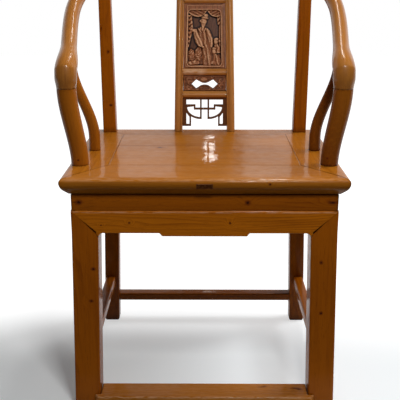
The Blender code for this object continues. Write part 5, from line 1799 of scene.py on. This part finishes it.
    @staticmethod
    def patina_and_painted_light(height: Array, sunk: Array) -> Array:
        """Tone of a relief: dark in hollows, partly patina and partly painted shade, and pale on raised
        parts, partly dust and partly painted highlight.

        A place is a hollow by how far it lies under the mean of its neighbourhood, worked out
        with two running means along each direction.

        Args:
            height: Heights in millimetres on the grid.
            sunk: Share by which the ground is sunk.
        Returns:
            Tone of the grid.
        """
        span = 11
        mean = height
        for axis in (0, 0, 1, 1):
            margins = [(0, 0), (0, 0)]
            margins[axis] = (span // 2 + 1, span // 2)
            total = np.cumsum(np.pad(mean, margins, mode="edge"), axis=axis)
            count = total.shape[axis]
            upper = np.take(total, np.arange(span, count), axis=axis)
            lower = np.take(total, np.arange(count - span), axis=axis)
            mean = (upper - lower) / span
        hollow = np.clip((mean - height) / 1.2, -1.0, 1.0)
        deep = np.clip((-height - 2.0) / 4.0, 0.0, 1.0)
        raised = np.clip((height + 1.0) / 2.6, 0.0, 1.0)
        # Hollows and the deep ground darken as patina and painted shade; raised parts pale as a painted
        # highlight.
        return np.clip(hollow * 0.85 + (0.62 * deep - 0.55 * raised) * sunk, -1.0, 1.0)

    def panel(self, word: str, front: Array, tone: Array, loop: bool = False) -> None:
        """Panel from rows of its front, each closed by two corners on its flat back.

        Args:
            word: Name of the panel.
            front: Points of the front, (rows, columns, 3).
            tone: Their tone.
            loop: The rows run round an opening, and the grain runs across.
        """
        back = front[:, [-1, 0]]
        back[..., 1] = self.frame.y(back[..., 2] - self.sizes.top) + self.rear
        rings = np.concatenate([front, back], axis=1)
        grain = rings[..., [0, 2, 1] if loop else [2, 0, 1]]
        shell = Shell(rings, grain, np.pad(tone, ((0, 0), (0, 2))), loop=loop)
        sharp = self.pierced_sharp if loop else self.relief_sharp
        self.dress(Look.CARVED, f"{word}_splat_panel", f"splat_panel_{word}", shell, sharp=sharp)

    def relief_panel(self, word: str, low: float, high: float, grid: tuple[int, int], carve: Carve) -> None:
        """Panel as level rings, each with a row of the relief in front.

        Args:
            word: Name of the panel.
            low: Lower edge over the seat.
            high: Upper edge over the seat.
            grid: Rows and columns of the relief.
            carve: Function of millimetres across and up that gives height and tone.
        """
        rows, columns = grid
        z = np.linspace(low, high, rows)[:, None]
        x = np.linspace(-1, 1, columns) * (self.frame.inner(z) - self.sizes.gap)
        height, tone = carve(x * 1000, (z - (low + high) / 2) * 1000 + 0 * x)
        y = self.frame.y(z) - self.face - height
        front = spread(x, y, self.sizes.top + z)
        self.panel(word, front, tone)

    def scrolls(self, x: Array, z: Array) -> Array:
        """Low scrolls of the pierced panel: ridges along spirals, cos(angle + 2.6 ln r) round each eye.

        Args:
            x: Places across.
            z: Places up.
        Returns:
            Height in millimetres.
        """
        made = 0 * x
        for eye_x, eye_z, hand in self.spirals:
            r = np.hypot(x - eye_x, z - eye_z) + 0.3
            ridge = np.cos(hand * np.arctan2(z - eye_z, x - eye_x) + 2.6 * np.log(r))
            made = np.maximum(made, 1.7 * np.maximum(ridge, 0.0) ** 0.7 * np.exp(-(r / 8.0) ** 4))
        boss = 1 - ((x + 2.0) / 8.5) ** 2 - ((z - 9.0) / 5.0) ** 2
        petals = 0.4 * np.cos(6 * np.arctan2(z - 9.0, x + 2.0))
        made = np.maximum(made, np.where(boss > 0, 2.2 * np.sqrt(np.maximum(boss, 0.0)) + petals, 0.0))
        return made + 0.25 * self.chips(1.3 * x, 1.3 * z)

    @staticmethod
    def filled(half: Sequence[Pair], steps: int = 16) -> Array:
        """Closed outline from the corners of its right half, filled in evenly between them.

        Args:
            half: Corners from the middle of the top to the middle of the bottom.
            steps: Points from one corner to the next.
        Returns:
            Points of the outline.
        """
        corner = np.array([*half, *((-u, v) for u, v in reversed(half[1:-1]))])
        share = np.linspace(0, 1, steps, endpoint=False)[None, :, None]
        return between(corner[:, None], np.roll(corner, -1, axis=0)[:, None], share).reshape(-1, 2)

    def pierced(self, low: float, high: float) -> None:
        """Pierced panel: spokes from the opening's outline to the panel's edge, closed behind.

        The opening is two diamonds joined by a curved waist. Each of its corners has a partner
        on the panel's edge, both outlines are filled in between their corners alike, and the
        places along each spoke are mixed in steps.

        Args:
            low: Lower edge over the seat.
            high: Upper edge over the seat.
        """
        middle = (low + high) / 2
        wide = self.frame.inner(middle) - self.sizes.gap
        tall = (high - low) / 2
        hole = self.filled(self.opening)
        for _ in range(4):
            hole = (np.roll(hole, 1, axis=0) + 2 * hole + np.roll(hole, -1, axis=0)) / 4
        partners = (0.0, 0.0085, 0.017, 0.0346, wide)
        above = [(x, tall) for x in partners]
        below = [(x, -tall) for x in reversed(partners)]
        rim = self.filled([*above, (wide, self.opening_side), *below])
        flat = between(hole[:, None], rim[:, None], np.linspace(0, 1, 44)[None, :, None])
        x = flat[..., 0]
        v = flat[..., 1]
        from_hole = np.linalg.norm(flat - hole[:, None], axis=-1) * 1000
        height = self.scrolls(x * 1000, v * 1000) * smooth_step((from_hole - 1.5) / 1.5)
        height = height + 1.3 * hump(from_hole - 1.2, 1.0) - hump(from_hole, 0.4)
        inset = np.minimum(wide - np.abs(x), tall - np.abs(v)) * 1000
        height = height * smooth_step((inset - 1.0) / 1.5) + 1.2 * hump(inset - 2.2, 1.1)
        z = middle + v
        y = self.frame.y(z) - self.face + self.pierced_sink - height / 1000
        # Darker where low, at the opening and along the edges, paler where raised: partly patina and dark
        # joints, partly painted shade and highlight.
        tone = 0.5 - 0.55 * height + fade(from_hole, 0.8, 0.5) + fade(inset, 0.9, 0.6)
        front = spread(x, y, self.sizes.top + z)
        self.panel("pierced", front, np.clip(tone, -0.45, 0.95), loop=True)

    @staticmethod
    def plain(x: Array, z: Array) -> tuple[Array, Array]:
        """Plain panel with a raised field and a sunk bevel round it."""
        edge = np.maximum(np.abs(x) - 36.0, np.abs(z - 2.0) - 36.0)
        height = 1.8 * smooth_step(-edge / 5.0) + 0.9 * hump(edge - 7.0, 1.0)
        return height / 1000, 0.3 * hump(edge - 0.4, 1.2)

    def build(self) -> None:
        """The three panels, from the seat up."""
        frame = self.frame
        gap = self.sizes.gap
        above = frame.rail_height + gap
        self.pierced(frame.lower + above, frame.middle - gap)
        self.relief_panel("carved", frame.middle + above, frame.upper - gap, self.carved_grid, self.carving)
        self.relief_panel("upper", frame.upper + above, frame.top_z - 0.004, self.plain_grid, self.plain)


@dataclass(frozen=True)
class Lamp:
    """Soft box lamp: where it hangs, the point that it faces, its size and its light."""

    name: str
    place: Triple
    aim: Triple
    size: Pair
    power: float
    colour: Colour
    mirrored: bool = True

    def hang(self) -> None:
        """Hang the lamp out of the camera's sight, and out of reflections where it is not mirrored."""
        data = bpy.data.lights.new(self.name, "AREA")
        data.shape = "RECTANGLE"
        data.size, data.size_y = self.size
        data.energy = self.power
        data.color = self.colour
        made = placed(self.name, data)
        made.location = self.place
        x, y, z = np.array(self.place) - np.array(self.aim)
        made.rotation_euler = (math.atan2(math.hypot(x, y), z), 0.0, math.atan2(x, -y))
        made.visible_camera = False
        made.visible_glossy = self.mirrored


@dataclass
class Studio:
    """Pale floor, soft light and the camera at the photograph's place."""

    sizes: Sizes
    camera_place: Triple = (-0.0015, -1.3418, 0.3725)
    camera_pitch: float = 0.2992
    camera_yaw: float = 0.0055
    focal: float = 731.1
    frame_width: float = 400.0
    floor_side: float = 5.0
    floor_near: float = -0.12
    floor_far: float = 7.0
    floor_shaded: Colour = (0.85, 0.9, 0.93)
    floor_plain: Colour = (0.35, 0.35, 0.35)
    floor_lift: float = 0.09
    room: float = 0.09
    wall: float = 0.55
    strip: float = 0.06
    strip_middle: float = 0.008
    strip_half: float = 0.055

    def camera(self) -> None:
        """Camera on its fitted place, looking down a little."""
        data = bpy.data.cameras.new("camera")
        data.sensor_width = 36.0
        data.lens = data.sensor_width * self.focal / self.frame_width
        made = placed("camera", data)
        x, y, z = self.camera_place
        made.location = (x, y + self.sizes.back, z + self.sizes.top)
        made.rotation_euler = (QUARTER_TURN - self.camera_pitch, 0.0, self.camera_yaw)
        bpy.context.scene.camera = made

    def floor(self) -> None:
        """Pale sheet that keeps the shadow near the chair and turns plain white further off.

        To the camera and in reflections the sheet glows with painted light beyond its lit colour: a
        little near the chair, so that it is white where nothing shades it, and fully further off,
        which washes out the chair's shadow under its back and behind it.
        """
        back = self.sizes.back
        side = self.floor_side
        plan = box_corners((-side, back + self.floor_near), (side, back + self.floor_far))
        mesh = bpy.data.meshes.new("studio_floor")
        mesh.from_pydata([(x, y, 0) for x, y in plan], [], [(0, 1, 2, 3)])
        sheet = Sheet(bpy.data.materials.new("studio_floor"))
        away = sheet.vector("SUBTRACT", sheet.place(), (0.0, back, 0.0)).outputs[0]
        apart = sheet.vector("MULTIPLY", away, (0.25, 1.0, 0.0)).outputs[0]
        behind = sheet.remap(sheet.vector("LENGTH", apart).outputs["Value"], 0.20, 0.66)
        plain = sheet.most(behind, sheet.remap(sheet.split(away)[1], 0.04, -0.12))
        camera, mirrored = sheet.rays()
        seen = sheet.times(camera, self.lifted(sheet, plain))
        mirrored = sheet.times(mirrored, self.lifted(sheet, behind))
        sheet.feed({"Base Color": sheet.mix(plain, self.floor_shaded, self.floor_plain), "Roughness": 0.9,
                    "Specular IOR Level": 0.0, "Emission Color": WHITE,
                    "Emission Strength": sheet.plus(seen, mirrored)})
        mesh.materials.append(sheet.made)
        made = placed("studio_floor", mesh)

    def lifted(self, sheet: Sheet, plain: Socket) -> Socket:
        """Brightness added to the floor, from its lift beside the chair to white where it is plain."""
        return sheet.remap(plain, 0.0, 1.0, self.floor_lift, 1.0, soft=False)

    def world(self) -> None:
        """White to the camera; for other rays a bright wall low behind the chair and a dim room.

        The wall has a dimmer strip straight behind the splat.
        """
        world = bpy.data.worlds.new("studio")
        bpy.context.scene.world = world
        sheet = Sheet(world)
        across, back, up = sheet.split(sheet.node("ShaderNodeTexCoord").outputs["Generated"])
        aside = sheet.math("ABSOLUTE", sheet.math("SUBTRACT", across, self.strip_middle))
        beside = sheet.remap(aside, 0.6 * self.strip_half, self.strip_half, self.strip, 1.0)
        behind = sheet.times(sheet.remap(back, 0.05, 0.6), sheet.remap(up, 0.75, 0.3))
        backdrop = sheet.times(behind, beside)
        wall = sheet.remap(backdrop, 0.0, 1.0, self.room, self.wall, soft=False)
        camera, mirrored = sheet.rays()
        seen = sheet.most(sheet.times(mirrored, backdrop), camera)
        sheet.feed({"Color": WHITE, "Strength": sheet.most(wall, seen)})

    def lamps(self) -> tuple[Lamp, ...]:
        """Lamps over, before, beside and behind the chair.

        Returns:
            The lamps.
        """
        back = self.sizes.back
        seat = (0.0, back + 0.25, self.sizes.top)
        over = (0.33, back + 0.25, self.sizes.top)
        return (
            Lamp("ceiling_box", (0.33, back + 1.10, 2.35), over, (0.11, 0.95), 6.5, (1.0, 0.97, 0.93)),
            Lamp("front_box", (0.26, back - 0.95, 1.80), seat, (0.28, 0.28), 15.5, (1.0, 0.97, 0.94)),
            Lamp("right_box", (2.7, back + 1.05, 3.5), seat, (2.2, 2.2), 110.0, (1.0, 1.0, 1.0), False),
            Lamp("window_box", (0.030, back + 2.6, 1.09), seat, (0.05, 0.13), 0.22, (1.0, 0.98, 0.95)),
        )

    def build(self) -> None:
        """Camera, floor, surroundings and lamps."""
        self.camera()
        self.floor()
        self.world()
        for lamp in self.lamps():
            lamp.hang()


def knots(sizes: Sizes) -> dict[Look, tuple[Knot, ...]]:
    """Knots that show on the chair's front.

    Args:
        sizes: Shared sizes.
    Returns:
        Knots of each look that has some.
    """
    nose = sizes.back
    front = nose + sizes.overhang
    band = front + sizes.waist_setback
    post = nose + sizes.back_leg_y - 0.016
    post_edge = post + 0.002
    elbow = nose + sizes.elbow_y - 0.018
    return {
        Look.LEG: (
            *Knot.upright(
                band, (-0.246, 0.4575, 0.0085, 0.006), (-0.253, 0.458, 0.013, 0.001),
                (0.084, 0.4575, 0.0065, 0.006), (0.25, 0.4575, 0.011, 0.004)),
            *Knot.upright(
                front, (-0.223, 0.318, 0.0056, 0.0042), (-0.23, 0.248, 0.0049, 0.0042),
                (0.233, 0.333, 0.0042, 0.0048), (0.238, 0.222, 0.0042, 0.0048)),
            *Knot.upright(post_edge, (-0.2313, 0.7055, 0.0042, 0.005)),
            *Knot.upright(post, (-0.2291, 0.577, 0.005, 0.0038)),
            *Knot.upright(post_edge, (-0.246, 0.76, 0.002, 0.006)),
        ),
        Look.APRON: Knot.upright(
            front, (-0.148, 0.416, 0.003, 0.0024), (-0.204, 0.411, 0.0024, 0.0016),
            (0.05, 0.416, 0.0028, 0.0034)),
        Look.SEAT: (
            *Knot.level(
                nose, sizes.top, 0.004, (-0.101, 0.268, 0.006, 0.0055), (-0.104, 0.271, 0.02, 0.002),
                (-0.093, 0.262, 0.013, 0.0018), (0.066, 0.246, 0.003, 0.003)),
            *Knot.upright(nose, (0.125, sizes.top - 0.01, 0.003, 0.003)),
        ),
        Look.STEP: Knot.level(
            nose, Stretchers.rest_top, 0.003, (0.124, 0.044, 0.011, 0.0016), (0.13, 0.048, 0.007, 0.0016),
            (0.195, 0.04, 0.014, 0.0026), (0.203, 0.036, 0.008, 0.003)),
        Look.POST: Knot.upright(elbow, (-0.256, 0.523, 0.0026, 0.0026), (0.248, 0.527, 0.003, 0.003)),
    }


def finishes(sizes: Sizes) -> dict[Look, Finish]:
    """Finishes of the chair.

    Args:
        sizes: Shared sizes.
    Returns:
        Finish of each look.
    """
    shown = knots(sizes)
    made = (
        Timber(Look.SEAT, Slot.SEAT, (0.4, 0.135, 0.009), (0.25, 0.07, 0.003), (0.045, 0.012, 0.002),
               ring=0.0085, coat=0.35, coat_roughness=0.05, knots=shown[Look.SEAT]),
        Timber(Look.LEG, Slot.LEG, (0.372, 0.097, 0.002), (0.2, 0.041, 0.001), (0.04, 0.01, 0.001),
               figure=0.75, ring=0.0065, coat=0.3, knots=shown[Look.LEG]),
        Timber(Look.APRON, Slot.LEG, (0.505, 0.147, 0.004), (0.25, 0.058, 0.001), (0.04, 0.01, 0.001),
               figure=0.75, ring=0.0065, coat=0.3, knots=shown[Look.APRON]),
        Timber(Look.RAIL, Slot.RAIL, (0.42, 0.158, 0.02), (0.28, 0.086, 0.008), (0.045, 0.013, 0.003),
               figure=0.45, ring=0.007, coat=0.6, coat_roughness=0.14, roughness=0.36, specular=0.3),
        Timber(Look.STEP, Slot.LEG, (0.42, 0.14, 0.008), (0.25, 0.07, 0.003), (0.04, 0.01, 0.001),
               figure=0.7, ring=0.007, coat=0.45, knots=shown[Look.STEP]),
        Timber(Look.POST, Slot.RAIL, (0.31, 0.094, 0.005), (0.19, 0.048, 0.002), (0.056, 0.01, 0.002),
               figure=0.45, ring=0.007, coat=0.4, knots=shown[Look.POST]),
        Timber(Look.SPLAT, Slot.RAIL, (0.5, 0.205, 0.045), (0.34, 0.118, 0.02), (0.045, 0.013, 0.004),
               figure=0.4, ring=0.0055, coat=0.45, roughness=0.36, specular=0.25),
        Timber(Look.FRET, Slot.CARVED, (0.15, 0.056, 0.02), (0.08, 0.026, 0.008), (0.02, 0.006, 0.002),
               coat=0.35, coat_roughness=0.2, ring=0.004, on_frame=True),
        Timber(Look.RAW, Slot.LEG, (0.34, 0.15, 0.05), (0.22, 0.08, 0.022), (0.04, 0.012, 0.004),
               coat=0.0, roughness=0.6, on_frame=True),
        CarvedTimber(Look.CARVED, Slot.CARVED, (0.76, 0.44, 0.25), (0.37, 0.134, 0.056),
                     (0.018, 0.005, 0.003)),
        AgedPlate(Look.PLATE, Slot.PLATE, (0.085, 0.022, 0.004), (0.28, 0.11, 0.03)),
    )
    return {finish.look: finish for finish in made}


def dress_frame_nodes(nodes: dict[str, bpy.types.Object], made: dict[Look, Finish]) -> None:
    """Give the nodes that stay as they are a worked finish.

    Args:
        nodes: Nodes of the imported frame.
        made: Finishes of the chair.
    """
    for name, node in nodes.items():
        if node.hide_render:
            continue
        look = Look.FRET if name == "splat_fret" else Look.RAW
        node.data.materials.clear()
        node.data.materials.append(made[look].material())
        log.info("%s: kept from the frame, in %s", name, look.value)


def main() -> None:
    """Load the frame, build each sub-assembly, dress it and set the studio round it."""
    logging.basicConfig(level=logging.INFO, format="%(name)s: %(message)s")
    for old in list(bpy.data.objects):
        bpy.data.objects.remove(old, do_unlink=True)
    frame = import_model()
    sizes = Sizes()
    made = finishes(sizes)
    rail = HorseshoeRail(sizes, made)
    splat = SplatFrame(sizes, made, rail)
    SeatFrame(sizes, made).build()
    SeatPanel(sizes, made).build()
    EdgePlate(sizes, made).build()
    Waist(sizes, made).build()
    Aprons(sizes, made).build()
    Legs(sizes, made, rail).build()
    Stretchers(sizes, made).build()
    rail.build()
    ArmPosts(sizes, made, rail).build()
    splat.build()
    SplatPanels(sizes, made, splat).build()
    dress_frame_nodes(frame["nodes"], made)
    Studio(sizes).build()
    bpy.context.scene.view_settings.view_transform = "Standard"


if __name__ == "__main__":
    main()
